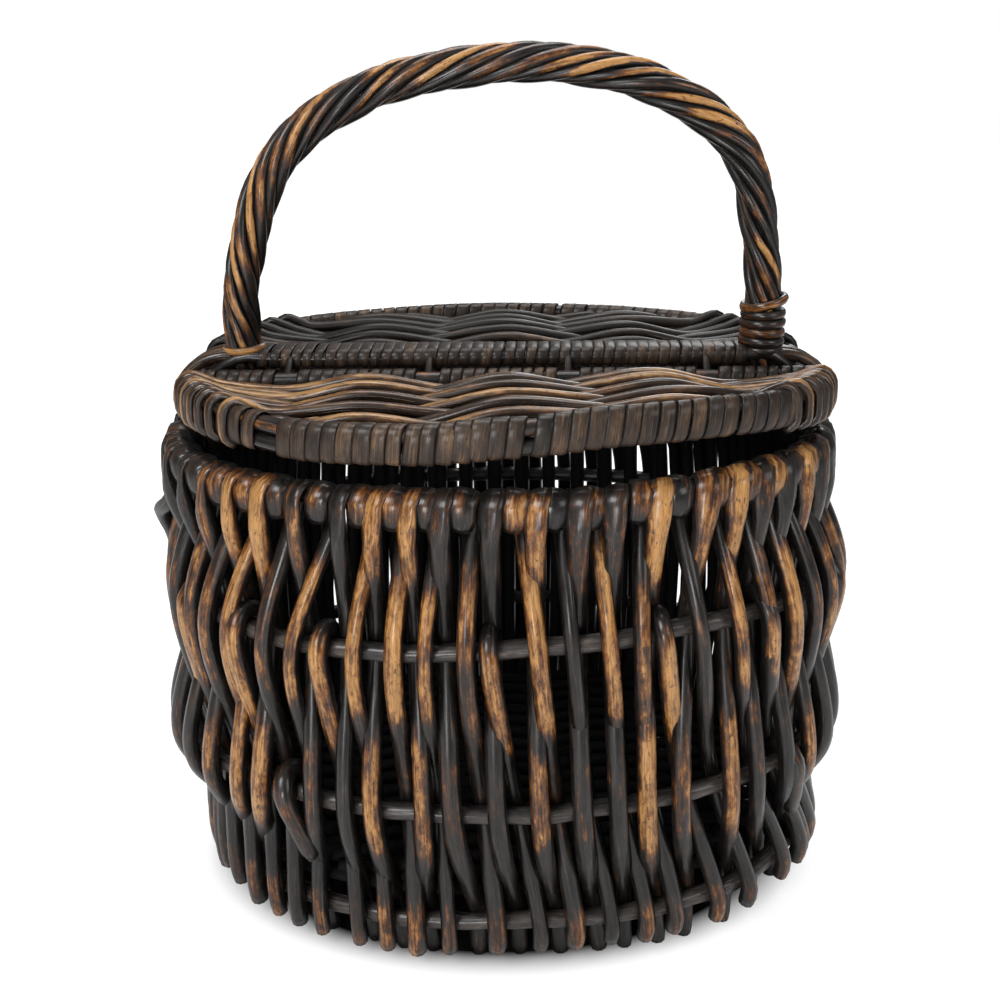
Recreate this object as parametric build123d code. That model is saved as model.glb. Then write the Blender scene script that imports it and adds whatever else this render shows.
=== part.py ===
from build123d import *
import math
import os
from bisect import bisect_left
from functools import lru_cache

# An oval open-wicker creel: upright willow stakes woven in and out of three hoops, looped
# over a rim rod, with a roped bow handle on a fixed crossbar and a woven lid each side of it.
# Frame: origin at the middle of the standing face, +Z up, the front lid towards -Y.
# Every rod is drawn with flat sides, so that some two hundred of them stay light.

# ---------------------------------------------------------------- driving dimensions, mm
# Wall: the rim's half-width, half-depth and height, at the middle of its rod.
plan_squareness = 2.25            # exponent of the superellipse that every ring follows
plan_facets = 26                 # straight stretches in one ring
stakes_per_facet = 4
facet_fill = 0.9                 # share of a facet that its stakes spread over, as they crowd inside
rim_half_width = 152.3
rim_half_depth = 102.3
rim_height = 239.5

# Hoops: how far each one's middle stands out beyond the rim's, and its height.
upper_hoop_end_outset = 9.9
upper_hoop_front_outset = 5.9
upper_hoop_height = 174.5
middle_hoop_end_outset = 13.0
middle_hoop_front_outset = 6.9
middle_hoop_height = 91.5
lower_hoop_end_outset = 6.3
lower_hoop_front_outset = 3.9
lower_hoop_height = 29.5

# Rods of the wall and the floor.
stake_diameter = 6.7
hoop_diameter = 8.2
rim_core_diameter = 6.0
tail_drop = 9.0                  # inside end of a stake, below the middle of the rim
loop_end_drop = 4.5              # outside end of a short loop, below the middle of the rim
loop_crossing_drop = 9.0         # where a loop stake crosses under the rim rod
outer_foot_drop = 13.0           # ends of the outer feet, below the middle of the lower hoop
outer_foot_setback = 2.0         # how far they stand in from the lower hoop's outside
foot_trim = 0.2                  # extra length that is trimmed flat, as a share of the foot's run
inserted_stake_numbers = {60, 66, 74, 82, 88}   # tail stakes replaced below the upper hoop
cut_end_drop = 14.0              # end of a stake that an inserted one takes over from
floor_hoop_rise = 7.0            # above the lower hoop
floor_hoop_diameter = 6.4
floor_stick_diameter = 5.0
floor_stick_count = 5
floor_stick_pitch = 52.0
floor_rod_diameter = 5.0
floor_rod_pitch = 9.9
floor_rod_count = 19

# Handle.
left_leg_inset = 26.8            # middle of a leg inside the rim's half-width
right_leg_inset = 28.8
# Points on the middle of the bow, as (share of the way out to a leg, rise above the crossbar's middle).
bow_left_points = ((0.988, 41.0), (0.825, 94.0), (0.502, 123.0))      # going up
bow_top = (0.032, 135.4)                                              # a little to the right
bow_right_points = ((0.518, 127.5), (0.858, 99.0), (0.976, 53.0))     # going down
bow_facets = 20
bow_core_diameter = 6.8
strand_count = 8
strand_diameter = 4.4
strand_orbit = 6.6               # from the middle of the bow to the middle of a strand
strand_turns = 2.75              # left-handed turns from leg to leg
core_tail = 24.0                 # bow core below the top of the crossbar
peg_diameter = 3.0
peg_length = 18.0
collar_turns = 5
collar_cane_width = 5.0
collar_cane_thickness = 2.0

# Fixed crossbar.
crossbar_rise = 31.0             # middle of the crossbar above the middle of the rim
crossbar_rod_diameter = 6.0
crossbar_rod_offset = 6.8        # each rod's distance from the middle plane
crossbar_bend_inset = 20.3       # bends at its ends, inside the rim's half-width
crossbar_shoulder_lift = 14.0    # above the rim rod, where the crossbar's ends turn down
binding_thickness = 0.9

# Lids.
lid_drop = 6.5                   # middle of the lids below the middle of the crossbar
lid_end_inset = 3.5              # middle of the lids' edge inside the middle of the rim, at the ends
lid_front_overhang = 5.3         # and outside it, at the front and back
lid_edge_rod_diameter = 7.2
lid_bar_diameter = 7.8
rib_diameter = 5.0
rib_pitch = 66.0
rib_count = 5
weaver_diameter = 5.1
weaver_pitch = 6.6
first_weaver_offset = 10.0        # from the hinge axis
hinge_loop_width = 5.0
hinge_loop_thickness = 1.2
hinge_loop_shift = 4.0           # the front lid's loops sit this far left, the rear one's right

# Clearances.
weave_clearance = 0.35           # between rods that cross
running_gap = 0.4                # between the crossbar and a lid's bound back bar
hinge_clearance = 0.4            # round a lid bar in its loops
seat_clearance = 0.1             # between pieces of one body that bear on each other

# Flat sides of the drawn rods.
rod_sides = 5
strand_sides = 4
band_sides = 6

# ---------------------------------------------------------------- sizes that follow
stake_count = plan_facets * stakes_per_facet
floor_hoop_height = lower_hoop_height + floor_hoop_rise
crossbar_height = rim_height + crossbar_rise
crossbar_level_half_length = rim_half_width - crossbar_bend_inset
lid_height = crossbar_height - lid_drop
lid_half_width = rim_half_width - lid_end_inset
lid_half_depth = rim_half_depth + lid_front_overhang
right_end_stakes = (stake_count - 3, stake_count - 2)            # front one, rear one
left_end_stakes = (stake_count // 2 - 2, stake_count // 2 - 3)   # front one, rear one
crossbar_stakes = right_end_stakes + left_end_stakes
weave_offset = (stake_diameter + hoop_diameter) / 2 + weave_clearance
rim_wrap_offset = (stake_diameter + rim_core_diameter) / 2 + weave_clearance
crossbar_wrap_radius = crossbar_rod_diameter / 2 + seat_clearance + binding_thickness
crossbar_side = crossbar_rod_offset + crossbar_wrap_radius
corner_stretch = 1 / math.cos(math.pi / band_sides)   # corner radius of a band over its flat radius
crossbar_top = crossbar_height + crossbar_wrap_radius * corner_stretch
lid_bar_side = lid_bar_diameter / 2 + binding_thickness
hinge_offset = crossbar_side + running_gap + lid_bar_side * corner_stretch
lid_back = hinge_offset + lid_bar_side + seat_clearance
edge_rod_lift = lid_edge_rod_diameter / 2 + weave_clearance
edge_binding_reach = lid_edge_rod_diameter / 2 + binding_thickness + seat_clearance
flat_share = math.cos(math.pi / rod_sides)       # a drawn rod's radius to its flats over its corner radius
edge_shoulder_slope = 0.5        # of the edge binding's top and bottom, falling to each side
rib_xs = [rib_pitch * (place - (rib_count - 1) / 2) for place in range(rib_count)]
hinge_loop_xs = [(left + right) / 2 for left, right in zip(rib_xs, rib_xs[1:])]
left_leg_x = left_leg_inset - rim_half_width
right_leg_x = rim_half_width - right_leg_inset
handle_leg_xs = (left_leg_x, right_leg_x)

RIM = (rim_half_width, rim_half_depth, rim_height)
UPPER = (
    rim_half_width + upper_hoop_end_outset,
    rim_half_depth + upper_hoop_front_outset,
    upper_hoop_height,
)
MIDDLE = (
    rim_half_width + middle_hoop_end_outset,
    rim_half_depth + middle_hoop_front_outset,
    middle_hoop_height,
)
LOWER = (
    rim_half_width + lower_hoop_end_outset,
    rim_half_depth + lower_hoop_front_outset,
    lower_hoop_height,
)


# ---------------------------------------------------------------- plans
@lru_cache(maxsize=None)
def plan_corners(half_width, half_depth):
    """Corners of a ring's plan at z = 0, evenly spaced round a superellipse."""
    power = 2 / plan_squareness
    fine_points = []
    for degrees in range(361):
        across = math.cos(math.radians(degrees))
        along = math.sin(math.radians(degrees))
        x = half_width * math.copysign(abs(across) ** power, across)
        y = half_depth * math.copysign(abs(along) ** power, along)
        fine_points.append(Vector(x, y, 0))
    travelled = [0.0]
    for start, end in zip(fine_points, fine_points[1:]):
        travelled.append(travelled[-1] + (end - start).length)
    corners = []
    for facet in range(plan_facets):
        target = travelled[-1] * (facet + 0.5) / plan_facets
        after = bisect_left(travelled, target)
        share = (target - travelled[after - 1]) / (travelled[after] - travelled[after - 1])
        corners.append(fine_points[after - 1] * (1 - share) + fine_points[after] * share)
    return corners


def on_wall(level, number, offset, lift=0.0):
    """Point on a numbered stake's line beside a ring, offset outward from the ring's centre line."""
    half_width, half_depth, height = level
    corners = plan_corners(half_width, half_depth)
    facet, place = divmod(number, stakes_per_facet)
    start = corners[facet]
    run = corners[(facet + 1) % plan_facets] - start
    share = 0.5 + ((place + 0.5) / stakes_per_facet - 0.5) * facet_fill
    outward = Vector(run.Y, -run.X, 0).normalized()
    return start + run * share + outward * offset + Vector(0, 0, height + lift)


# ---------------------------------------------------------------- rods and bands
def rod(points, diameter, sides=rod_sides):
    """Flat-sided rod along straight runs with mitred corners."""
    path = Polyline(*points)
    section = Plane(origin=path @ 0, z_dir=path % 0) * RegularPolygon(diameter / 2, sides)
    return sweep(section, path=path, transition=Transition.RIGHT)


def ring(level, diameter):
    """Closed rod round the plan of one level, begun in the middle of a facet."""
    half_width, half_depth, height = level
    corners = [corner + Vector(0, 0, height) for corner in plan_corners(half_width, half_depth)]
    start = (corners[-1] + corners[0]) / 2
    return rod([start, *corners, start], diameter)


def band(rods, thickness, length):
    """Cane band round rods that run along X, each given as (y, z, radius inside the band)."""
    inner = []
    outer = []
    for y, z, radius in rods:
        for edges, flat_radius in ((inner, radius), (outer, radius + thickness)):
            outline = RegularPolygon(flat_radius, band_sides, major_radius=False, rotation=30)
            edges += (Pos(y, z) * outline).edges()
    section = Plane.YZ * (make_hull(outer) - make_hull(inner))
    return Pos(-length / 2, 0, 0) * extrude(section, length)


def spans_between(gaps, end):
    """Stretches of a bar from -end to end that a list of (middle, half-length) gaps leaves over."""
    spans = []
    start = -end
    for middle, half_length in sorted(gaps):
        spans.append((start, middle - half_length))
        start = middle + half_length
    spans.append((start, end))
    return [(low, high) for low, high in spans if high > low]


# ---------------------------------------------------------------- wall
def past_rim(number, side):
    """Upper run of a stake, past one side of the rim rod to the inside of the upper hoop."""
    return [
        on_wall(RIM, number, side * rim_wrap_offset, -rim_core_diameter / 2),
        on_wall(UPPER, number, -weave_offset),
    ]


def tail_run(number):
    """Lower run of a stake that goes outside the middle hoop and stands inside the lower one."""
    inside_lower = on_wall(LOWER, number, -weave_offset)
    foot = on_wall(LOWER, number, -weave_offset, -lower_hoop_height)
    return [on_wall(MIDDLE, number, weave_offset), inside_lower, foot + (foot - inside_lower) * foot_trim]


def loop_run(number):
    """Lower run of a stake that goes outside the upper hoop, inside the next and outside the last."""
    return [
        on_wall(UPPER, number, weave_offset),
        on_wall(MIDDLE, number, -weave_offset),
        on_wall(LOWER, number, weave_offset),
        on_wall(LOWER, number, weave_offset - outer_foot_setback, -outer_foot_drop),
    ]


def over_rim(number, side, drop):
    """Turn of a stake over the rim rod, begun at its cut end: side is 1 outside, -1 inside."""
    return [
        on_wall(RIM, number, side * rim_wrap_offset, -drop),
        on_wall(RIM, number, side * rim_wrap_offset, rim_wrap_offset),
        on_wall(RIM, number, -side * rim_wrap_offset, rim_wrap_offset),
    ]


def tail_stake(number, is_cut):
    """Stake that comes up outside the rim rod, with its tail turned over it and down inside."""
    cut_end = on_wall(UPPER, number, -weave_offset, -cut_end_drop)
    lower_run = [cut_end] if is_cut else tail_run(number)
    route = [*over_rim(number, -1, tail_drop), *past_rim(number, 1), *lower_run]
    return standing(rod(route, stake_diameter))


def loop_stake(number):
    """Stake that comes up inside the rim rod and ends in a short loop over it."""
    crossing = on_wall(RIM, number, -rim_wrap_offset, -loop_crossing_drop)
    return rod([*over_rim(number, 1, loop_end_drop), crossing, *loop_run(number)], stake_diameter)


def inserted_stake(number):
    """Short stake hooked over the upper hoop, which takes over from a cut tail stake."""
    return rod([
        on_wall(UPPER, number, 0, weave_offset),
        on_wall(UPPER, number, weave_offset, weave_offset),
        *loop_run(number),
    ], stake_diameter)


def standing(stake):
    """The stake trimmed flat where it stands, at z = 0."""
    return split(stake, Plane.XY, keep=Keep.TOP)


def wall():
    """Stakes, hoops and rim rod."""
    tails = [number for number in range(0, stake_count, 2) if number not in crossbar_stakes]
    loops = [number for number in range(1, stake_count, 2) if number not in crossbar_stakes]
    return {
        "tail_stakes": [tail_stake(number, number in inserted_stake_numbers) for number in tails],
        "loop_stakes": [loop_stake(number) for number in loops],
        "inserted_stakes": [inserted_stake(number) for number in sorted(inserted_stake_numbers)],
        "upper_hoop": [ring(UPPER, hoop_diameter)],
        "middle_hoop": [ring(MIDDLE, hoop_diameter)],
        "lower_hoop": [ring(LOWER, hoop_diameter)],
        "rim_rod": [ring(RIM, rim_core_diameter)],
    }


# ---------------------------------------------------------------- floor
def floor_half_size(lower_half, middle_half):
    """Half-size at which the floor hoop wedges against the inner feet, on one axis of the plan."""
    foot_half = lower_half - weave_offset
    slope = (middle_half + weave_offset - foot_half) / (middle_hoop_height - lower_hoop_height)
    reach = (stake_diameter + floor_hoop_diameter) / 2 + weave_clearance
    return foot_half + slope * (floor_hoop_height - lower_hoop_height) - reach * math.hypot(1, slope)


def floor_mat():
    """Oval mat wedged inside the inner feet: a hoop, sticks across it and rods along it."""
    half_width, half_depth = (floor_half_size(lower, middle) for lower, middle in zip(LOWER[:2], MIDDLE[:2]))
    hoop = ring((half_width, half_depth, floor_hoop_height), floor_hoop_diameter)
    field = extrude(make_face(Polyline(*plan_corners(half_width, half_depth), close=True)), rim_height)
    hoop_top = floor_hoop_height + floor_hoop_diameter / 2 * math.cos(math.pi / rod_sides / 2)
    stick_z = hoop_top + seat_clearance + floor_stick_diameter / 2 * flat_share
    rod_z = stick_z + floor_stick_diameter / 2 + seat_clearance + floor_rod_diameter / 2 * flat_share
    sticks = []
    for place in range(floor_stick_count):
        x = floor_stick_pitch * (place - (floor_stick_count - 1) / 2)
        stick = rod([(x, -half_depth, stick_z), (x, half_depth, stick_z)], floor_stick_diameter)
        sticks.append(stick & field)
    rods = []
    for place in range(floor_rod_count):
        y = floor_rod_pitch * (place - (floor_rod_count - 1) / 2)
        long_rod = rod([(-half_width, y, rod_z), (half_width, y, rod_z)], floor_rod_diameter)
        rods.append(long_rod & field)
    return {"floor_hoop": [hoop], "floor_sticks": sticks, "floor_rods": rods}


# ---------------------------------------------------------------- handle
def bow_line():
    """Middle line of the bow, from the left foot of its strands to the right one."""
    foot = (1.0, strand_foot_height() - crossbar_height)
    sides = ((left_leg_x, [foot, *bow_left_points]), (right_leg_x, [bow_top, *bow_right_points, foot]))
    route = [(leg_x * share, 0, crossbar_height + rise) for leg_x, points in sides for share, rise in points]
    return Spline(*route, tangents=((0, 0, 1), (0, 0, -1)))


def strand_foot_height():
    """Height at which the strands stand on the crossbar."""
    return crossbar_top + strand_diameter / 2


def bow_core():
    """Core of the bow, whose ends pass between the crossbar's rods and take the pegs."""
    line = bow_line()
    drop = Vector(0, 0, -(strand_foot_height() - crossbar_top + core_tail))
    stations = [line @ (step / bow_facets) for step in range(bow_facets + 1)]
    core = rod([stations[0] + drop, *stations, stations[-1] + drop], bow_core_diameter)
    for x in handle_leg_xs:
        core -= peg(x, peg_diameter + 2 * seat_clearance)
    return core


def peg(x, diameter):
    """Peg through the bow core, under the crossbar's rods."""
    height = crossbar_height - (crossbar_rod_diameter + peg_diameter) / 2 - seat_clearance
    return rod([(x, -peg_length / 2, height), (x, peg_length / 2, height)], diameter)


def strand(number):
    """One strand of the rope round the bow core."""
    line = bow_line()
    points = []
    for step in range(bow_facets + 1):
        share = step / bow_facets
        tangent = line % share
        outward = Vector(tangent.Z, 0, -tangent.X)
        turn = -2 * math.pi * (strand_turns * share + number / strand_count)
        points.append(line @ share + outward * strand_orbit * math.cos(turn)
                      + Vector(0, strand_orbit * math.sin(turn), 0))
    return rod(points, strand_diameter, strand_sides)


def leg_collar(x, turns):
    """Turns of flat cane wound round a leg, standing on the crossbar."""
    inner_radius = strand_orbit + strand_diameter / 2 + seat_clearance
    flat_turn = 180 / strand_count
    outline = RegularPolygon(inner_radius + collar_cane_thickness, strand_count,
                             major_radius=False, rotation=flat_turn)
    opening = RegularPolygon(inner_radius, strand_count, major_radius=False, rotation=flat_turn)
    turn = extrude(outline - opening, collar_cane_width - seat_clearance)
    first_height = crossbar_top + seat_clearance
    return [Pos(x, 0, first_height + collar_cane_width * number) * turn for number in range(turns)]


def handle():
    """Bow core, its strands, the left tie, the right collar and the pegs."""
    nodes = {
        "bow_core": [bow_core()],
        "left_leg_tie": leg_collar(left_leg_x, 1),
        "right_leg_collar": leg_collar(right_leg_x, collar_turns),
        "bow_pegs": [peg(x, peg_diameter) for x in handle_leg_xs],
    }
    for number in range(strand_count):
        nodes[f"bow_strand_{number + 1}"] = [strand(number)]
    return nodes


# ---------------------------------------------------------------- crossbar
def crossbar_rod(side):
    """Rod of the crossbar: level across the basket, its ends turned down and woven in as stakes."""
    right_number = right_end_stakes[0 if side < 0 else 1]
    left_number = left_end_stakes[0 if side < 0 else 1]
    ends = []
    for number, end in ((right_number, 1), (left_number, -1)):
        shoulder = on_wall(RIM, number, -rim_wrap_offset, crossbar_shoulder_lift)
        below = [on_wall(RIM, number, -rim_wrap_offset, -loop_crossing_drop), *loop_run(number)]
        if number % 2 == 0:
            below = [*past_rim(number, -1), *tail_run(number)]
        level = Vector(end * crossbar_level_half_length, side * crossbar_rod_offset, crossbar_height)
        ends.append([level, shoulder, *below])
    return standing(rod([*reversed(ends[1]), *ends[0]], crossbar_rod_diameter, band_sides))


def crossbar_binding():
    """Cane wound round both crossbar rods, left out at the handle's legs and the hinge loops."""
    half_gap = hinge_loop_shift + hinge_loop_width / 2 + seat_clearance
    gaps = [(x, half_gap) for x in hinge_loop_xs]
    gaps += [(x, bow_core_diameter / 2 + weave_clearance) for x in handle_leg_xs]
    radius = crossbar_rod_diameter / 2 + seat_clearance
    rods = [(side * crossbar_rod_offset, crossbar_height, radius) for side in (-1, 1)]
    turns = []
    for low, high in spans_between(gaps, crossbar_level_half_length - crossbar_rod_diameter):
        turns.append(Pos((low + high) / 2, 0, 0) * band(rods, binding_thickness, high - low))
    return turns


def hinge_loops(side):
    """Cane loops on the crossbar, in which one lid's back bar turns."""
    radius = crossbar_rod_diameter / 2 + seat_clearance
    rods = [(end * crossbar_rod_offset, crossbar_height, radius) for end in (-1, 1)]
    rods.append((side * hinge_offset, lid_height, lid_bar_diameter / 2 + hinge_clearance))
    loop = band(rods, hinge_loop_thickness, hinge_loop_width)
    return [Pos(x + side * hinge_loop_shift, 0, 0) * loop for x in hinge_loop_xs]


def crossbar():
    """Fixed crossbar with its binding and hinge loops."""
    return {
        "crossbar_front_rod": [crossbar_rod(-1)],
        "crossbar_rear_rod": [crossbar_rod(1)],
        "crossbar_binding": crossbar_binding(),
        "front_hinge_loops": hinge_loops(-1),
        "rear_hinge_loops": hinge_loops(1),
    }


# ---------------------------------------------------------------- lids
def lid_edge_corners():
    """Corners of the curved edge, from left to right round the front, at the lid's middle height."""
    front = [corner for corner in plan_corners(lid_half_width, lid_half_depth) if corner.Y < 0]
    return [corner + Vector(0, 0, lid_height) for corner in sorted(front, key=lambda corner: corner.X)]


def before_back_bar():
    """Space in front of the back bar, which trims what butts against it."""
    space = Box(2 * rim_half_width + 2 * lid_half_width, 2 * lid_half_depth, 2 * lid_height)
    return Pos(0, -lid_back - lid_half_depth, lid_height) * space


def edge_section(reach, rise):
    """Hexagon across the left end of the curved edge, round both its rods."""
    start = lid_edge_corners()[0]
    shoulder = rise - reach * edge_shoulder_slope
    outline = Polyline((reach, shoulder), (0, rise), (-reach, shoulder),
                       (-reach, -shoulder), (0, -rise), (reach, -shoulder), close=True)
    direction = (lid_edge_corners()[1] - start).normalized()
    across = Vector(-direction.Y, direction.X, 0)
    place = Plane(origin=start, x_dir=across, z_dir=direction)
    return place * make_face(outline)


def lid_edge_binding():
    """Cane wound round both edge rods, as a close sleeve."""
    path = Polyline(*lid_edge_corners())
    inner_reach = lid_edge_rod_diameter / 2 + seat_clearance
    inner_rise = edge_rod_lift + inner_reach * math.hypot(1, edge_shoulder_slope)
    outer = sweep(edge_section(inner_reach + binding_thickness, inner_rise + binding_thickness),
                  path=path, transition=Transition.RIGHT)
    inner = sweep(edge_section(inner_reach, inner_rise), path=path, transition=Transition.RIGHT)
    return (outer - inner) & before_back_bar()


def lid_field():
    """Space inside the lid's edge and in front of its back bar, in which the weave lies."""
    outline = make_face(Polyline(*plan_corners(lid_half_width, lid_half_depth), close=True))
    inside = offset(outline, amount=-(edge_binding_reach + seat_clearance), kind=Kind.INTERSECTION)
    return extrude(inside, 2 * lid_height) & before_back_bar()


def weaver(row, field):
    """One woven rod of a lid, over and under the ribs."""
    y = -(hinge_offset + first_weaver_offset + weaver_pitch * row)
    swing = (rib_diameter + weaver_diameter) / 2 + weave_clearance
    points = [(-lid_half_width, y, lid_height)]
    for place, x in enumerate(rib_xs):
        lift = swing if (place + row) % 2 == 0 else -swing
        points.append((x, y, lid_height + lift))
    points.append((lid_half_width, y, lid_height))
    return rod(points, weaver_diameter, strand_sides) & field


def weaver_rows():
    """Number of woven rods that fit between the back bar and the lid's front edge."""
    depth = lid_half_depth - edge_binding_reach - hinge_offset - first_weaver_offset - weaver_diameter / 2
    return int(depth / weaver_pitch) + 1


def lid_bar_binding():
    """Cane wound round the back bar, left out at the hinge loops."""
    half_gap = hinge_loop_width / 2 + running_gap
    gaps = [(x - hinge_loop_shift, half_gap) for x in hinge_loop_xs]
    turns = []
    for low, high in spans_between(gaps, lid_half_width):
        turn = band([(-hinge_offset, lid_height, lid_bar_diameter / 2 + seat_clearance)],
                    binding_thickness - seat_clearance, high - low)
        turns.append(Pos((low + high) / 2, 0, 0) * turn)
    return turns


def front_lid():
    """Pieces of the front lid, by their plain names."""
    field = lid_field()
    edge_rods = {}
    for name, lift in (("edge_lower_rod", -edge_rod_lift), ("edge_upper_rod", edge_rod_lift)):
        corners = [corner + Vector(0, 0, lift) for corner in lid_edge_corners()]
        edge_rods[name] = [rod(corners, lid_edge_rod_diameter) & before_back_bar()]
    bar_end = lid_half_width + edge_binding_reach
    ribs = [rod([(x, -lid_back, lid_height), (x, -lid_half_depth, lid_height)], rib_diameter) & field
            for x in rib_xs]
    return {
        "back_bar": [rod([(-bar_end, -hinge_offset, lid_height), (bar_end, -hinge_offset, lid_height)],
                         lid_bar_diameter, band_sides)],
        "bar_binding": lid_bar_binding(),
        **edge_rods,
        "edge_binding": [lid_edge_binding()],
        "ribs": ribs,
        "weavers": [weaver(row, field) for row in range(weaver_rows())],
    }


def lids():
    """Both lids: the rear one is the front one turned half round the vertical."""
    nodes = {}
    for name, pieces in front_lid().items():
        nodes[f"front_lid_{name}"] = pieces
        nodes[f"rear_lid_{name}"] = [Rot(0, 0, 180) * piece for piece in pieces]
    return nodes


# ---------------------------------------------------------------- export
def solids_of(pieces):
    """Every solid in a list of pieces."""
    return [solid for piece in pieces for solid in piece.solids()]


def main():
    """Write one STEP file for each node."""
    os.makedirs("parts", exist_ok=True)
    nodes = {**wall(), **floor_mat(), **handle(), **crossbar(), **lids()}
    for name, pieces in nodes.items():
        found = solids_of(pieces)
        shape = found[0] if len(found) == 1 else Compound(children=found)
        export_step(shape, f"parts/{name}.step")


main()
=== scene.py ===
import logging
import math
import random
from bisect import bisect_left
from dataclasses import dataclass
from enum import Enum
from functools import lru_cache
from typing import Callable, Optional, Sequence

import bmesh
import bpy
from mathutils import Matrix, Vector, noise


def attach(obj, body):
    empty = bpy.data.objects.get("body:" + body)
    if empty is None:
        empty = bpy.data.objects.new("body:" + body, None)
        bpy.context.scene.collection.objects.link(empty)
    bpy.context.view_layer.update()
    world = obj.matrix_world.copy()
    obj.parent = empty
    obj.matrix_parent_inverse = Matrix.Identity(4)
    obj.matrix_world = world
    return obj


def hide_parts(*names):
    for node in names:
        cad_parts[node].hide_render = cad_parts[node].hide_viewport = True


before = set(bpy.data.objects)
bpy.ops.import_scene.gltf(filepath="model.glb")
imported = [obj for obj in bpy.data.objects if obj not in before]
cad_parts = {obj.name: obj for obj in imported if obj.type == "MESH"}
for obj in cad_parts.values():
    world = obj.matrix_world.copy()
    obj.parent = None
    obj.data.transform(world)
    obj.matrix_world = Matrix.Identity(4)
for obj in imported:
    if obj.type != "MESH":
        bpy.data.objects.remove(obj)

# The creel's oval wall, roped bow, fixed crossbar and two hinged lids, dressed in willow and cane.
# Sizes are in metres in the frame of the CAD model: origin under the middle, +Z up, front at -Y.

LOG = logging.getLogger("creel")
MM = 0.001
UP = Vector((0, 0, 1))
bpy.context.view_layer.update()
PLACES = 104          # numbered places round every ring, one for each stake
PLACE_SHIFT = 2.5     # places from the right-hand end of a ring to its place 0
SQUARENESS = 2.25     # exponent of the superellipse that every oval follows
OVAL_STEPS = 720      # steps round an oval when its length is measured
LUMP_ROUND = 6        # scale round a rod of its natural unevenness
LUMP_ALONG = 90       # the same along it, per metre
HINGE_OFFSET = 16.7426 * MM     # each lid's hinge in front of or behind the middle
HINGE_HEIGHT = 264 * MM         # the hinges, and the middle of the flat lids


def mm(*sizes: float) -> tuple[float, ...]:
    """Sizes given in millimetres, as metres."""
    return tuple(size * MM for size in sizes)


def between(low: float, high: float, share: float) -> float:
    """Value part of the way from low to high."""
    return low + (high - low) * share


def ease(low: float, high: float, value: float) -> float:
    """Smooth step of a value between two limits, from 0 to 1."""
    share = min(1.0, max(0.0, (value - low) / (high - low)))
    return share * share * (3 - 2 * share)


# ------------------------------------------------------------------------------- rings
@lru_cache(maxsize=None)
def oval_line(half_width: float, half_depth: float) -> tuple[list[Vector], list[float]]:
    """Close points round an oval and the distance travelled to each.

    Args:
        half_width: Half-size along X.
        half_depth: Half-size along Y.

    Returns:
        The points, the first one repeated at the end, and their distances from the start.
    """
    power = 2 / SQUARENESS
    points = []
    for step in range(OVAL_STEPS + 1):
        angle = math.tau * step / OVAL_STEPS
        across, along = math.cos(angle), math.sin(angle)
        points.append(Vector((
            half_width * math.copysign(abs(across) ** power, across),
            half_depth * math.copysign(abs(along) ** power, along), 0)))
    travelled = [0.0]
    for start, end in zip(points, points[1:]):
        travelled.append(travelled[-1] + (end - start).length)
    return points, travelled


def oval_reach(offset: float, across: float, along: float, least: float = 0.02) -> float:
    """Half-length of a line laid across an oval.

    Args:
        offset: Distance of the line from the middle.
        across: Half-size of the oval in the direction of that distance.
        along: Half-size of the oval in the direction of the line.
        least: Smallest share that is kept where the oval closes.

    Returns:
        The half-length.
    """
    share = max(least, 1 - (abs(offset) / across) ** SQUARENESS)
    return along * share ** (1 / SQUARENESS)


@dataclass(frozen=True)
class Ring:
    """Closed oval line at one level of the basket, bent out of the even oval.

    Each entry of `bends` is a place, how far the ring stands out there and how far it rises, in
    millimetres.
    """

    half_width: float
    half_depth: float
    height: float
    bends: tuple[tuple[float, float, float], ...] = ()

    def at(self, place: float) -> tuple[Vector, Vector]:
        """Point and outward direction at a numbered place, counted from the right-hand end.

        Args:
            place: Number of the place, anticlockwise seen from above; fractions are allowed.

        Returns:
            The point on the ring and the level unit vector that points outward there.
        """
        points, travelled = oval_line(self.half_width, self.half_depth)
        target = travelled[-1] * (((place + PLACE_SHIFT) / PLACES) % 1.0)
        after = max(1, bisect_left(travelled, target))
        share = (target - travelled[after - 1]) / (travelled[after] - travelled[after - 1])
        run = points[after] - points[after - 1]
        outward = Vector((run.y, -run.x, 0)).normalized()
        out, lift = self._bend(place % PLACES)
        point = points[after - 1] + run * share + outward * out
        return Vector((point.x, point.y, self.height + lift)), outward

    def _bend(self, place: float) -> tuple[float, float]:
        """How far the ring is bent out of the even oval.

        Args:
            place: Place round the ring.

        Returns:
            How far it stands out there and how far it rises.
        """
        if not self.bends:
            return 0.0, 0.0
        first = self.bends[0]
        stops = [*self.bends, (first[0] + PLACES, first[1], first[2])]
        asked = place if place >= first[0] else place + PLACES
        after = max(1, bisect_left([stop[0] for stop in stops], asked))
        low, high = stops[after - 1], stops[after]
        share = ease(low[0], high[0], asked)
        return between(low[1], high[1], share) * MM, between(low[2], high[2], share) * MM

    def along(self, place: float) -> Vector:
        """Level unit vector along the ring at a place."""
        outward = self.at(place)[1]
        return Vector((-outward.y, outward.x, 0))

    def beside(self, place: float, offset: float = 0.0, lift: float = 0.0) -> Vector:
        """Point beside the ring, moved outward and up.

        Args:
            place: Number of the place round the ring.
            offset: Distance outward from the ring's line.
            lift: Distance above the ring's line.

        Returns:
            The point.
        """
        point, outward = self.at(place)
        return point + outward * offset + UP * lift


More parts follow.
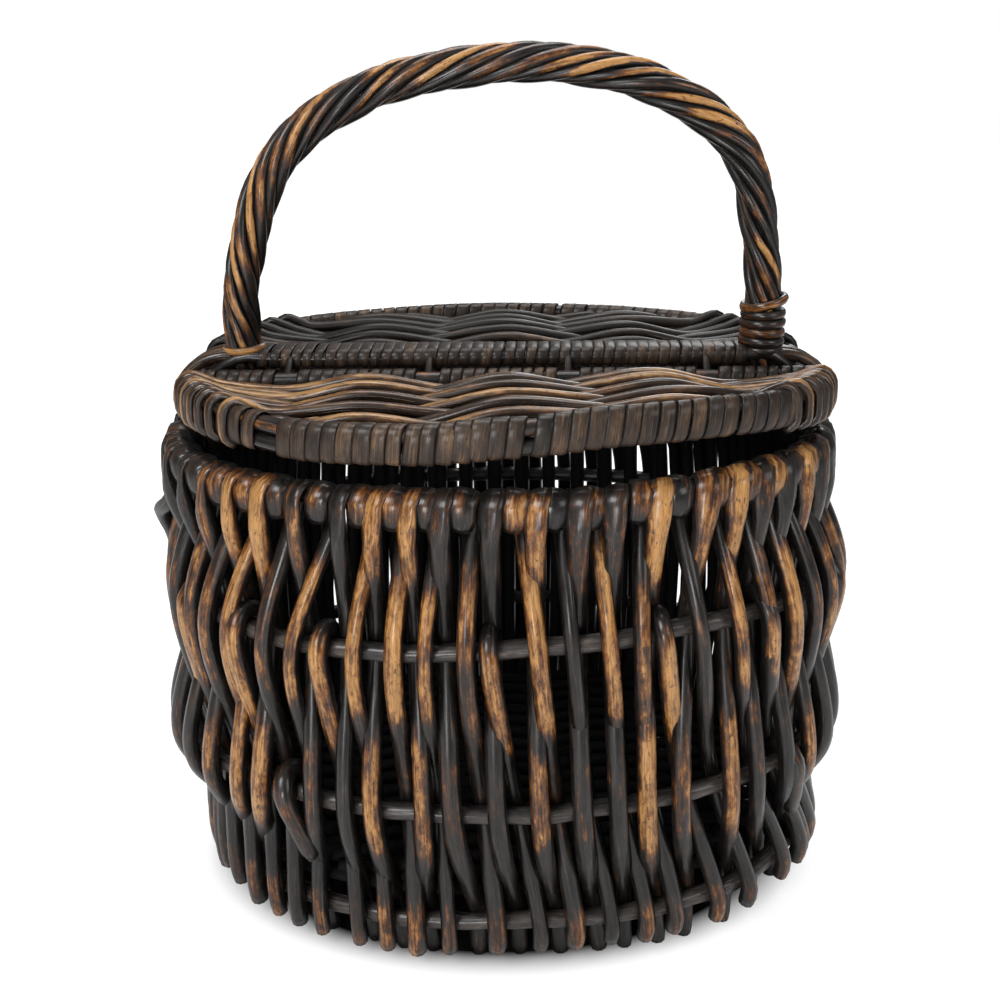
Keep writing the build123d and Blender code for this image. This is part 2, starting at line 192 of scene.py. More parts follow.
RIM = Ring(*mm(152.3, 102.3, 239.5), (
    (8, 0, 0), (40, 0, 0), (50, 5, -1), (54, 5, -2), (58, 3.5, -3), (63, 1, -3.5), (70, 0, -3.8),
    (79, 0, -4), (83, 0, -2.2), (87, 0, -0.4), (94, 0, 0), (98, -1.5, 0), (102, -1.5, 0)))
UPPER = Ring(*mm(162.2, 108.2, 174.5), (
    (8, 0, 0), (40, 0, 0), (50, -3.5, -1), (56, -2, -2), (60, 0, -4), (64, 0, -6), (69, 0, -5.6),
    (73, 0, -4.4), (77, 0, -1.8), (80, 0, -0.5), (85, 0, 2.8), (92, -1, 2), (99, -3, 0), (104, -2, 0)))
MIDDLE = Ring(*mm(165.3, 109.2, 91.5), (
    (8, 0, 0), (40, 0, 0), (50, -1.5, 0), (58, 0, 0), (62, 0, 2), (66, 0, -2.2), (71, 0, -3.2),
    (77, 0, -4), (81, 0, -1.6), (85, 0, -0.5), (89, 0, 1), (95, -1, 0), (101, -4, 0)))
LOWER = Ring(*mm(158.6, 106.2, 29.5), (
    (8, 0, 0), (44, 0, 0), (52, -7, -1), (57, -8, -3), (61, -6, -5), (65, -4, -5.5), (70, -1, -5),
    (75, 0, -3.6), (80, 1, -3.3), (85, 3, -1.2), (89, 4, 0.8), (93, 2, 2), (97, 0, 0.5), (101, -3, 0)))


# ------------------------------------------------------------------------------- smooth lines
def span_point(four: Sequence[Vector], times: Sequence[float], now: float) -> Vector:
    """Point of one Catmull-Rom span, by repeated blending of its four knots.

    Args:
        four: The knot before the span, its two ends and the knot after it.
        times: The parameter of each knot.
        now: The parameter of the point.

    Returns:
        The point.
    """
    level = list(four)
    for reach in (1, 2):
        level = [
            level[index].lerp(level[index + 1],
                              (now - times[index]) / (times[index + reach] - times[index]))
            for index in range(4 - reach)]
    return level[0].lerp(level[1], (now - times[1]) / (times[2] - times[1]))


def smooth_line(knots: Sequence[Vector], pitch: float, closed: bool = False) -> list[Vector]:
    """Points on a smooth line through a few knots.

    Args:
        knots: Points that the line passes through.
        pitch: Greatest distance between two points.
        closed: Whether the line joins its own start.

    Returns:
        The points; a closed line doesn't repeat its first one.
    """
    count = len(knots)
    points: list[Vector] = []
    for span in range(count if closed else count - 1):
        start, end = knots[span], knots[(span + 1) % count]
        before = knots[span - 1] if closed or span else start * 2 - end
        after = knots[(span + 2) % count] if closed or span + 2 < count else end * 2 - start
        four = (before, start, end, after)
        times = [0.0]
        for near, far in zip(four, four[1:]):
            times.append(times[-1] + max(1e-7, (far - near).length) ** 0.5)
        steps = max(1, math.ceil((end - start).length / pitch))
        points += [span_point(four, times, between(times[1], times[2], step / steps))
                   for step in range(steps)]
    if not closed:
        points.append(knots[-1].copy())
    return points


# ------------------------------------------------------------------------------- rods
@dataclass
class Rod:
    """One willow rod or cane strip that is swept along a line.

    Attributes:
        line: Points along its middle.
        radius: Half its width at each point; one value holds all along.
        wear: How worn it is at each point, from 0 to 1; one value holds all along.
        facing: Direction that its worn side faces at each point; one vector holds all along.
        flatness: Thickness over width at each point; one value holds all along.
        across: Direction of its width at the first point; it is carried along from there. When None,
            a flat rod lies with its width across `facing` all along.
        sides: Number of sides.
        closed: Whether it joins its own start.
        lump: Height of its natural unevenness.
        tone: Its own shade, from 0 to 1; drawn at random when None.
        painted_shade: How much painted shade darkens it, from 0 to 1, so that the creel's inside looks dark.
        inward_painted_shade: The same painted shade, on the side turned away from `facing`.
        clean: Where on its round the worn side starts and is fully worn; 1 faces along `facing`.
        point: Share of the radius left at the two ends.
    """

    line: Sequence[Vector]
    radius: Sequence[float] | float
    wear: Sequence[float] | float = 0.3
    facing: Sequence[Vector] | Vector | None = None
    flatness: Sequence[float] | float = 1.0
    across: Optional[Vector] = None
    sides: int = 10
    closed: bool = False
    lump: float = 0.18 * MM
    tone: Optional[float] = None
    # Painted shade: colour darkened as if in shade, inside the creel and on sides turned inward.
    painted_shade: float = 0.0
    inward_painted_shade: float = 0.0
    clean: tuple[float, float] = (0.42, 0.95)
    point: tuple[float, float] = (0.8, 0.8)

    def radius_at(self, index: int) -> float:
        """Radius at one point of the line; the two ends are pointed."""
        radius = self.radius if isinstance(self.radius, (int, float)) else self.radius[index]
        if self.closed or 0 < index < len(self.line) - 1:
            return radius
        return radius * self.point[1 if index else 0]

    def flatness_at(self, index: int) -> float:
        """Thickness over width at one point of the line."""
        return self.flatness if isinstance(self.flatness, (int, float)) else self.flatness[index]

    def wear_at(self, index: int) -> float:
        """Wear at one point of the line."""
        return self.wear if isinstance(self.wear, (int, float)) else self.wear[index]

    def facing_at(self, index: int) -> Optional[Vector]:
        """Worn direction at one point of the line."""
        if self.facing is None or isinstance(self.facing, Vector):
            return self.facing
        return self.facing[index]


class RodPiece:
    """Mesh of one piece made of swept rods, with what the finishes read stored on its points.

    The attribute `grain` holds place round and along the rod in metres, and `finish` holds its tone,
    wear and painted shade.
    """

    def __init__(self, name: str, seed: int) -> None:
        """Start an empty piece.

        Args:
            name: Name of the finished object.
            seed: Seed of the piece's own random draws.
        """
        self.name = name
        self.random = random.Random(seed)
        self.mesh = bmesh.new()
        self.grain = self.mesh.verts.layers.float_vector.new("grain")
        self.finish = self.mesh.verts.layers.float_color.new("finish")
        self.turn = self.mesh.verts.layers.float_vector.new("turn")

    def add(self, rod: Rod) -> None:
        """Sweep one rod: a circle is extruded from point to point and its ends are closed.

        Args:
            rod: The rod to add.
        """
        tone = self.random.random() if rod.tone is None else rod.tone
        shift = Vector((self.random.uniform(-1, 1), self.random.uniform(-1, 1), self.random.uniform(-1, 1)))
        count = len(rod.line)
        travelled = 0.0
        side = self._first_side(rod)
        ring = bmesh.ops.create_circle(
            self.mesh, segments=rod.sides, radius=1, cap_ends=not rod.closed)["verts"]
        for vert in ring:
            vert[self.turn] = vert.co.copy()
        loop = list({edge for vert in ring for edge in vert.link_edges})
        first_loop = list(loop)
        for index in range(count):
            place = rod.line[index]
            tangent = self._tangent(rod, index)
            side = (side - tangent * side.dot(tangent)).normalized()
            facing = rod.facing_at(index)
            if rod.flatness != 1.0 and rod.across is None and facing is not None:
                side = facing.cross(tangent).normalized()
            up = tangent.cross(side)
            if index:
                travelled += (place - rod.line[index - 1]).length
                made = bmesh.ops.extrude_edge_only(self.mesh, edges=loop)["geom"]
                ring = [item for item in made if isinstance(item, bmesh.types.BMVert)]
                around = set(ring)
                loop = [item for item in made if isinstance(item, bmesh.types.BMEdge)
                        and item.verts[0] in around and item.verts[1] in around]
            radius, wear, flatness = rod.radius_at(index), rod.wear_at(index), rod.flatness_at(index)
            for vert in ring:
                turn = vert[self.turn]
                out = side * turn.x + up * turn.y
                swell = rod.lump * noise.noise(
                    out * LUMP_ROUND + shift * 40 + Vector((0, 0, travelled * LUMP_ALONG)))
                vert.co = (place + side * turn.x * (radius + swell)
                           + up * turn.y * (radius * flatness + swell))
                vert[self.grain] = Vector((turn.x * radius, turn.y * radius, travelled)) + shift
                outness = 1.0 if facing is None else 0.5 + 0.5 * out.dot(facing)
                # Painted shade: the side turned inward is coloured dark, as if in shade.
                inward_shade = rod.inward_painted_shade * (1 - ease(rod.clean[0] - 0.2, rod.clean[0] + 0.1, outness))
                vert[self.finish] = (tone, wear * ease(*rod.clean, outness), max(rod.painted_shade, inward_shade), 1.0)
        if rod.closed:
            bmesh.ops.bridge_loops(self.mesh, edges=loop + first_loop)
        else:
            bmesh.ops.contextual_create(self.mesh, geom=loop)

    def finish_up(self, material: bpy.types.Material, body: str, slot: str,
                  nodes: Sequence[str] = ()) -> bpy.types.Object:
        """Make the object: normals out, smooth shading, its finish and what it stands for.

        Args:
            material: Material of the whole piece.
            body: Name of the body that carries it.
            slot: Name of the record's material slot; not used.
            nodes: Names of the CAD nodes that it replaces.

        Returns:
            The finished object.
        """
        bmesh.ops.recalc_face_normals(self.mesh, faces=self.mesh.faces[:])
        for face in self.mesh.faces:
            face.smooth = len(face.verts) == 4
        self.mesh.verts.layers.float_vector.remove(self.turn)
        data = bpy.data.meshes.new(self.name)
        self.mesh.to_mesh(data)
        self.mesh.free()
        data.materials.append(material)
        piece = bpy.data.objects.new(self.name, data)
        bpy.context.scene.collection.objects.link(piece)
        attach(piece, body)
        if nodes:
            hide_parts(*nodes)
        LOG.info("%s: %d faces on %s", self.name, len(data.polygons), body)
        return piece

    @staticmethod
    def _tangent(rod: Rod, index: int) -> Vector:
        """Direction of a rod's line.

        Args:
            rod: The rod.
            index: Number of the point.

        Returns:
            The unit vector along the line there.
        """
        count = len(rod.line)
        if rod.closed:
            return (rod.line[(index + 1) % count] - rod.line[index - 1]).normalized()
        low, high = max(0, index - 1), min(count - 1, index + 1)
        return (rod.line[high] - rod.line[low]).normalized()

    def _first_side(self, rod: Rod) -> Vector:
        """Direction across a rod's line at its first point.

        Args:
            rod: The rod.

        Returns:
            The vector.
        """
        if rod.across is not None:
            return rod.across
        tangent = self._tangent(rod, 0)
        helper = UP if abs(tangent.z) < 0.8 else Vector((0, 1, 0))
        return tangent.cross(helper).normalized()


# ------------------------------------------------------------------------------- finishes
def linear(code: str) -> tuple[float, float, float, float]:
    """Linear colour of an sRGB hex value.

    Args:
        code: Six hex digits after a hash.

    Returns:
        Red, green, blue and an alpha of 1.
    """
    parts = [int(code[index:index + 2], 16) / 255 for index in (1, 3, 5)]
    red, green, blue = (
        part / 12.92 if part <= 0.04045 else ((part + 0.055) / 1.055) ** 2.4 for part in parts)
    return red, green, blue, 1.0


def add_node(tree: bpy.types.NodeTree, kind: str, inputs: Optional[dict] = None,
             ramp: Sequence[tuple[float, str]] = (), **settings: object) -> bpy.types.Node:
    """Add a node with its settings and links.

    Args:
        tree: Node tree that takes the node.
        kind: Blender's name of the node type.
        inputs: Values or sockets for its inputs, by name or number.
        ramp: Places and hex colours of a colour ramp.
        **settings: Properties of the node.

    Returns:
        The node.
    """
    node = tree.nodes.new(kind)
    for name, value in settings.items():
        setattr(node, name, value)
    for key, value in (inputs or {}).items():
        if isinstance(value, bpy.types.NodeSocket):
            tree.links.new(value, node.inputs[key])
        else:
            node.inputs[key].default_value = value
    if ramp:
        stops = node.color_ramp.elements
        while len(stops) < len(ramp):
            stops.new(1.0)
        for stop, (place, code) in zip(stops, ramp):
            stop.position = place
            stop.color = linear(code)
    return node


def per_metre(size_mm: float) -> float:
    """Pattern scale at which one repeat takes a size in millimetres."""
    return 1000 / size_mm


@dataclass(frozen=True)
class WillowFinish:
    """Willow rod, stained dark by spraying and varnished, rubbed back to golden brown where it wears.

    The stain lies near black in the hollows, breaks up in long pointed streaks where the rod bulges
    outward, and the varnish gives it a narrow bright sheen along the rod.

    Attributes:
        name: Name of the material.
        stain: Colour where the stain is whole.
        stain_light: Colour where it thins, and of the dirt left in the grain.
        edge: Colour at the edge of a rubbed patch.
        worn: Colour of a rubbed patch.
        bright: Colour of bare wood.
        scuff: Colour of dry scratches in the varnish.
        painted_shade_colour: Colour of painted shade, where a rod is darkened as if in shade.
        wear_bias: Added to the wear all over.
        wear_gain: Weight of the wear that the rods carry.
        tone_spread: How far one rod differs from the next.
        blotches: Weight of the broad blotches.
        mottle: Weight of the patches, which break up the edge of the stain.
        streaks: Weight of the streaks along the rod.
        grime: Strength of the dirt in the grain.
        specks: Strength of the small dark specks.
        scuffs: Strength of the scratches.
        roughness: Roughness at its middle.
        varnish: Weight of the varnish where it is whole.
        varnish_roughness: Roughness of the varnish.
        ior: Index of refraction of dry varnished wood.
        specular: Level of the wood's own sheen; the varnish gives the rest.
        relief_mm: Height of the relief.
        fibre_mm: Width of a fibre; real ones are finer, and are drawn this coarse so that they show.
        fibre_length_mm: Length of a fibre.
        blotch_mm: Width of a blotch.
        patch_mm: Width of a patch.
        patch_length_mm: Length of a patch.
        speck_mm: Width of a speck.
    """

    name: str
    stain: str = "#0d0b0a"
    stain_light: str = "#231e1b"
    edge: str = "#44240e"
    worn: str = "#7c4b1e"
    bright: str = "#c08c50"
    scuff: str = "#7d756d"
    painted_shade_colour: str = "#0b0a0a"
    wear_bias: float = 0.0
    wear_gain: float = 0.9
    tone_spread: float = 0.32
    blotches: float = 1.2
    mottle: float = 1.5
    streaks: float = 0.75
    grime: float = 0.45
    specks: float = 0.75
    scuffs: float = 0.5
    roughness: float = 0.33
    varnish: float = 0.6
    varnish_roughness: float = 0.2
    ior: float = 1.5
    specular: float = 0.3
    relief_mm: float = 0.16
    fibre_mm: float = 0.9
    fibre_length_mm: float = 16.0
    blotch_mm: float = 7.0
    patch_mm: float = 3.0
    patch_length_mm: float = 7.5
    speck_mm: float = 1.6

    def build(self) -> bpy.types.Material:
        """Build the material's nodes.

        Returns:
            The material.
        """
        material = bpy.data.materials.new(self.name)
        material.use_nodes = True
        tree = material.node_tree
        tree.nodes.clear()
        grain = add_node(tree, "ShaderNodeAttribute", attribute_name="grain").outputs["Vector"]
        marks = add_node(tree, "ShaderNodeAttribute", attribute_name="finish").outputs["Color"]
        # The finish attribute carries each rod's tone, its wear and its painted shade.
        split = add_node(tree, "ShaderNodeSeparateColor", {"Color": marks}).outputs
        tone, wear, painted_shade = split["Red"], split["Green"], split["Blue"]

        def pattern(across_mm: float, along_mm: float, detail: float,
                    rough: float = 0.55) -> bpy.types.NodeSocket:
            """Noise that is stretched along the rod.

            Args:
                across_mm: Size of a repeat across the rod.
                along_mm: Size of a repeat along it.
                detail: Number of finer layers.
                rough: Weight of the finer layers.

            Returns:
                Socket with the value.
            """
            scale = (per_metre(across_mm), per_metre(across_mm), per_metre(along_mm))
            place = add_node(tree, "ShaderNodeMapping", {"Vector": grain, "Scale": scale}).outputs[0]
            return add_node(tree, "ShaderNodeTexNoise", {
                "Vector": place, "Scale": 1.0, "Detail": detail, "Roughness": rough}).outputs[0]

        fibre = pattern(self.fibre_mm, self.fibre_length_mm, 3.0)
        points = pattern(self.fibre_mm * 1.6, self.fibre_length_mm * 3, 2.0)
        blotch = pattern(self.blotch_mm, self.blotch_mm * 3.2, 3.0)
        patches = pattern(self.patch_mm, self.patch_length_mm, 5.0, 0.68)
        speck = pattern(self.speck_mm, self.speck_mm * 1.8, 2.0, 0.6)
        dirt = pattern(self.fibre_mm * 1.2, self.fibre_length_mm * 0.5, 5.0, 0.7)
        scratch = pattern(self.fibre_mm * 0.8, self.fibre_length_mm * 1.4, 4.0, 0.7)

        # How far the stain is rubbed off: the rod's wear, broken up by each pattern in turn.
        rub = add_node(tree, "ShaderNodeMath", {0: wear, 1: self.wear_gain}, operation="MULTIPLY").outputs[0]
        for part, weight in ((blotch, self.blotches), (patches, self.mottle), (fibre, self.streaks),
                             (points, self.streaks), (tone, self.tone_spread)):
            centred = add_node(tree, "ShaderNodeMath", {0: part, 1: 0.5}, operation="SUBTRACT").outputs[0]
            rub = add_node(tree, "ShaderNodeMath", {0: centred, 1: weight, 2: rub},
                           operation="MULTIPLY_ADD").outputs[0]
        rub = add_node(tree, "ShaderNodeMath", {0: rub, 1: self.wear_bias}, operation="ADD").outputs[0]
        colour = add_node(tree, "ShaderNodeValToRGB", {"Fac": rub}, ramp=(
            (0.0, self.stain), (0.32, self.stain_light), (0.47, self.edge),
            (0.68, self.worn), (1.0, self.bright))).outputs[0]

        # Dirt, specks and scratches over it: pattern, where each starts and is full, strength, colour.
        for part, low, high, strength, over in (
                (dirt, 0.42, 0.62, self.grime, self.stain_light),
                (speck, 0.60, 0.70, self.specks, self.stain_light),
                (scratch, 0.60, 0.72, self.scuffs, self.scuff)):
            share = add_node(tree, "ShaderNodeMapRange", {
                "Value": part, "From Min": low, "From Max": high,
                "To Min": 0.0, "To Max": strength}).outputs[0]
            colour = add_node(tree, "ShaderNodeMix", {0: share, 6: colour, 7: linear(over)},
                              data_type="RGBA").outputs[2]
        # Painted shade: where a rod is marked as shaded, its colour goes to near black.
        colour = add_node(tree, "ShaderNodeMix", {0: painted_shade, 6: colour, 7: linear(self.painted_shade_colour)},
                          data_type="RGBA").outputs[2]

        # The varnish is dull where it is scratched, and painted shade takes both it and the sheen away, so
        # shaded parts show no reflection.
        gloss = add_node(tree, "ShaderNodeMapRange", {
            "Value": blotch, "From Min": 0.3, "From Max": 0.7,
            "To Min": self.roughness - 0.08, "To Max": self.roughness + 0.14}).outputs[0]
        gloss = add_node(tree, "ShaderNodeMath", {0: painted_shade, 1: 0.5, 2: gloss},
                         operation="MULTIPLY_ADD").outputs[0]
        whole = add_node(tree, "ShaderNodeMapRange", {
            "Value": scratch, "From Min": 0.35, "From Max": 0.6,
            "To Min": 0.2, "To Max": self.varnish}).outputs[0]
        clean = add_node(tree, "ShaderNodeMath", {0: 1.0, 1: painted_shade}, operation="SUBTRACT").outputs[0]
        coat = add_node(tree, "ShaderNodeMath", {0: clean, 1: whole}, operation="MULTIPLY").outputs[0]
        pits = add_node(tree, "ShaderNodeMath", {0: speck, 1: 0.5}, operation="MULTIPLY").outputs[0]
        height = add_node(tree, "ShaderNodeMath", {0: fibre, 1: 0.6, 2: pits},
                          operation="MULTIPLY_ADD").outputs[0]
        bump = add_node(tree, "ShaderNodeBump", {
            "Height": height, "Strength": 0.7, "Distance": self.relief_mm * MM}).outputs[0]
        shader = add_node(tree, "ShaderNodeBsdfPrincipled", {
            "Base Color": colour, "Roughness": gloss, "Normal": bump, "IOR": self.ior, "Coat Weight": coat,
            "Coat Roughness": self.varnish_roughness, "Specular IOR Level": self.specular})
        add_node(tree, "ShaderNodeOutputMaterial", {"Surface": shader.outputs[0]})
        return material


class Slot(Enum):
    """Material slots of the record."""

    DARK = "dark_willow"
    WORN = "worn_willow"
    WEATHERED = "weathered_willow"
    CANE = "split_cane"


FINISHES = {
    # Rods out of reach of hands: the stain is nearly whole and reads as black-brown.
    Slot.DARK: WillowFinish("dark_stained_willow", wear_bias=-0.12),
    # Rods that hands and carrying rub: golden streaks break through the stain.
    Slot.WORN: WillowFinish("rubbed_stained_willow"),
    # Hoops that the varnish never covered well: grey, dry and a little chalky.
    Slot.WEATHERED: WillowFinish(
        "weathered_willow_hoop", stain="#1d1a19", stain_light="#37322f", edge="#443d39", worn="#5d534b",
        bright="#7d7166", scuff="#948c85", scuffs=0.7, roughness=0.42),
    # Flat cane split from the rod's skin: finer fibres, an even brown and a soft dull sheen.
    Slot.CANE: WillowFinish(
        "stained_split_cane", stain="#15100c", stain_light="#241a14", edge="#33261c", worn="#433224",
        bright="#6f5439", scuff="#7d7063", mottle=1.0, streaks=0.9, grime=0.3, scuffs=0.6, roughness=0.47,
        varnish=0.22, fibre_mm=0.6, blotch_mm=5.0),
}
# Woven rods of the front lid: long streaks under a glossy varnish with pale scratches.
LID_FINISH = WillowFinish(
    "varnished_lid_willow", stain="#1a120d", stain_light="#33241a", edge="#4c3420", worn="#6e4c2e",
    bright="#b08654", scuff="#b5a594", mottle=1.1, scuffs=0.7, roughness=0.27, varnish=0.55,
    fibre_length_mm=22.0)
# Woven rods of the rear lid: the same, darker all over and with a duller varnish.
REAR_LID_FINISH = WillowFinish(
    "dull_lid_willow", stain="#0f0c0a", stain_light="#211811", edge="#35261a", worn="#523a26",
    bright="#7d5d3d", scuff="#8a8178", scuffs=0.5, roughness=0.4, varnish=0.15, fibre_length_mm=22.0)


# ------------------------------------------------------------------------------- wall
@dataclass(frozen=True)
class Spread:
    """Where numbered stakes stand round a ring, as some lean away from their even places."""

    knots: tuple[tuple[float, float], ...]

    def place(self, number: float) -> float:
        """Place round the ring of a numbered stake.

        Args:
            number: Number of the stake.

        Returns:
            The place.
        """
        first, last = self.knots[0][0], self.knots[-1][0]
        asked = number if number >= first else number + PLACES
        if not first <= asked <= last:
            return number
        for (low, start), (high, end) in zip(self.knots, self.knots[1:]):
            if asked <= high:
                return between(start, end, (asked - low) / (high - low)) + (number - asked)
        return number


@dataclass
class Wall:
    """Upright stakes woven in and out of three hoops and turned over a rim rod.

    Even-numbered stakes come up outside the rim and odd-numbered ones inside it.

    Attributes:
        weave: Distance of a stake's middle from a hoop's.
        rim_wrap: The same at the rim rod.
        rim_width: How much wider a stake is pressed over the rim.
        rim_flatness: Its thickness over its width there.
        rim_slant: Places that it leans by as it goes over.
        step: Greatest distance between two points of a stake.
        hooks: Places of the hooked stake ends on the middle hoop.
        backing_radius: Half the thickness of the thin stakes inside the rear.
        tall_backing: First and last places of those that reach the rim.
        low_backing: Places of those that stop under the upper hoop.
        knee: Place of the stake end that stands out at the left.
        close_set: First and last stakes that are set close together.
        close_set_girth: Their thickness over the usual one.
        foot_height: Height of the cut feet inside the lower hoop.
        crossbar_stakes: Stakes whose places the crossbar's ends take.
        tails_at_rim: Where even-numbered stakes stand at the rim; the others are alike.
        inserted: Places of the inserted stakes at the upper and lower hoops.
    """

    tail_radius: float = 4.15 * MM
    loop_radius: float = 3.95 * MM
    hoop_radius: float = 4.2 * MM
    rim_radius: float = 3.2 * MM
    weave: float = 7.7 * MM
    rim_wrap: float = 5.3 * MM
    rim_width: float = 1.4
    rim_flatness: float = 0.37
    rim_slant: float = 0.5
    step: float = 5.0 * MM
    hooks: tuple[float, ...] = (63.2, 91.3)
    backing_radius: float = 3.5 * MM
    tall_backing: tuple[tuple[float, float], ...] = (
        (0.5, 11.5), (12.0, 12.0), (28.5, 48.5), (101.5, 103.5))
    low_backing: tuple[float, ...] = (12.5, 13.5, 14.5, 15.4, 17.5, 18.5, 19.5, 20.6, 22.9, 23.6, 25.6, 26.2)
    knee: float = 50.6
    close_set: tuple[int, int] = (2, 47)
    close_set_girth: float = 1.08
    foot_height: float = 1.3 * MM
    hoop_points: int = 150
    crossbar_stakes: tuple[int, ...] = (101, 102, 50, 49)
    tails_at_rim: Spread = Spread((
        (58, 58), (62, 61.8), (64, 63.8), (66, 66.4), (68, 68.2), (70, 70), (72, 71.6), (74, 74.2),
        (76, 76.5), (78, 78.8), (80, 80.6), (82, 83), (84, 85.7), (86, 87.4), (94, 94.4), (104, 104)))
    loops_at_rim: Spread = Spread((
        (59, 59), (63, 62.7), (65, 65.3), (67, 67.5), (69, 69.2), (71, 71), (73, 72.8), (75, 75.5),
        (77, 77.6), (79, 79.5), (81, 82), (83, 84.2), (85, 86.5), (87, 88.4), (95, 95.4), (104, 104)))
    loops_at_upper: Spread = Spread((
        (57, 57), (61, 60.3), (63, 62.6), (65, 64.2), (67, 67.5), (69, 69.6), (71, 71.1), (73, 73.1),
        (75, 76.7), (77, 78.4), (79, 80.3), (81, 81.8), (83, 85), (85, 87.2), (87, 89), (95, 96.5),
        (104, 104)))
    tails_at_middle: Spread = Spread((
        (56, 56), (60, 60.3), (62, 61.9), (64, 65), (66, 66.8), (68, 68.2), (70, 70.9), (72, 72.4),
        (74, 74.6), (76, 76.9), (78, 79.1), (80, 80.9), (82, 82.4), (84, 84.2), (86, 87.2), (88, 88.9),
        (96, 97.5), (106, 106)))
    loops_at_lower: Spread = Spread((
        (57, 57), (61, 61), (63, 62.6), (65, 64.2), (67, 68.4), (69, 70.1), (71, 71.8), (73, 74.6),
        (75, 79), (77, 81), (79, 83), (81, 84.5), (83, 89.3), (85, 92.4), (89, 96.5), (95, 101),
        (104, 107), (115, 116), (120, 120)))
    tails_at_lower: Spread = Spread((
        (50, 49), (56, 52), (60, 55.8), (62, 58.4), (64, 63.4), (66, 66.5), (68, 68.5), (70, 70.4),
        (72, 73.3),
        (74, 75.8), (76, 77.9), (78, 80.2), (80, 82.2), (82, 84.1), (84, 86.2), (86, 89), (88, 91.7),
        (90, 95), (92, 98), (96, 101), (104, 107), (115, 116), (120, 120)))
    inserted: tuple[tuple[float, float], ...] = (
        (56.6, 55.4), (60.9, 60.9), (65.7, 66.6), (74.2, 77), (82.9, 87.2), (88.9, 95), (95.5, 99))

    def build(self, finishes: dict[Slot, bpy.types.Material]) -> None:
        """Make the stakes, the hoops and the rim rod.

        Args:
            finishes: Material of each slot.
        """
        tails = RodPiece("wall_tail_stakes", 11)
        loops = RodPiece("wall_loop_stakes", 12)
        added = RodPiece("wall_inserted_stakes", 13)
        for number in range(PLACES):
            if number not in self.crossbar_stakes:
                if number % 2:
                    self.add_loop(loops, number)
                else:
                    self.add_tail(tails, number)
        for first, last in self.tall_backing:
            for step in range(int(last - first) + 1):
                self.add_backing(loops, first + step, True)
        for place in self.low_backing:
            self.add_backing(loops, place, False)
        for upper, lower in self.inserted:
            self.add_inserted(added, upper, lower)
        self.add_knee(added, self.knee)
        for place in self.hooks:
            self.add_hook(added, place)
        for piece, node in ((tails, "tail_stakes"), (loops, "loop_stakes"), (added, "inserted_stakes")):
            piece.finish_up(finishes[Slot.WORN], "basket", Slot.WORN.value, [node])
        for index, (name, ring, radius, slot) in enumerate((
                ("upper_hoop", UPPER, self.hoop_radius, Slot.WEATHERED),
                ("middle_hoop", MIDDLE, self.hoop_radius, Slot.WEATHERED),
                ("lower_hoop", LOWER, self.hoop_radius, Slot.WEATHERED),
                ("rim_rod", RIM, self.rim_radius, Slot.DARK))):
            self.add_hoop(f"wall_{name}", 20 + index, ring, radius).finish_up(
                finishes[slot], "basket", slot.value, [name])

    def add_hoop(self, name: str, seed: int, ring: Ring, radius: float) -> RodPiece:
        """One closed hoop, a little uneven.

        Args:
            name: Name of the piece.
            seed: Seed of its random draws.
            ring: Line that it follows.
            radius: Half its thickness.

        Returns:
            The piece, not yet finished.
        """
        piece = RodPiece(name, seed)
        line, facing = [], []
        for index in range(self.hoop_points):
            place = PLACES * index / self.hoop_points
            waver = noise.noise(Vector((index * 0.31, seed, 0))) * 0.9 * MM
            line.append(ring.beside(place, 0, waver))
            facing.append(ring.at(place)[1])
        piece.add(Rod(line, radius, wear=0.42, facing=facing, closed=True, sides=12, tone=0.5, lump=0.4 * MM))
        return piece

    @staticmethod
    def _thickness(own: float, lines: int, shape: Sequence[float]) -> list[float]:
        """Radius along a stake.

        Args:
            own: The stake's own radius.
            lines: Number of points along it.
            shape: Shares of that radius, evenly spaced from end to end.

        Returns:
            Radius at each point.
        """
        spans = len(shape) - 1
        radii = []
        for index in range(lines):
            along = index / (lines - 1) * spans
            span = min(spans - 1, int(along))
            radii.append(own * between(shape[span], shape[span + 1], along - span))
        return radii

    def _wear(self, line: Sequence[Vector], bands: Sequence[tuple[float, float, float]],
              strength: float) -> list[float]:
        """Wear along a stake.

        Args:
            line: Points of the stake.
            bands: Height, half-height and strength of each worn stretch.
            strength: Wear of this stake, over the usual one.

        Returns:
            Wear at each point.
        """
        values = []
        for point in line:
            best = 0.06
            for height, reach, power in bands:
                best = max(best, power * (1 - ease(0.62, 1.15, abs(point.z - height) / reach)))
            values.append(best * strength)
        return values

    def _facing(self, line: Sequence[Vector]) -> list[Vector]:
        """Outward direction of the wall along a stake, tipped up over the rim.

        Args:
            line: Points of the stake.

        Returns:
            Unit vector at each point.
        """
        directions = []
        for point in line:
            level = Vector((point.x / RIM.half_width ** 2, point.y / RIM.half_depth ** 2, 0)).normalized()
            lean = ease(RIM.height, RIM.height + self.rim_wrap, point.z)
            directions.append((level + UP * lean * 0.8).normalized())
        return directions

    def _over_rim(self, outer: float, inner: float, inner_drop: float) -> list[Vector]:
        """Knots of a stake bent tightly over the rim rod, from outside the wall to inside it.

        Args:
            outer: Place of the stake outside the rim.
            inner: Place of the stake inside the rim.
            inner_drop: How far below the rim it goes inside.

        Returns:
            The knots.
        """
        wrap = self.rim_wrap
        return [
            RIM.beside(outer, wrap, 0.5 * MM),
            RIM.beside(between(outer, inner, 0.25), wrap * 0.72, wrap * 0.72),
            RIM.beside(between(outer, inner, 0.5), 0, wrap),
            RIM.beside(between(outer, inner, 0.75), -wrap * 0.72, wrap * 0.72),
            RIM.beside(inner, -wrap, 0),
            RIM.beside(inner, -wrap, -inner_drop),
        ]

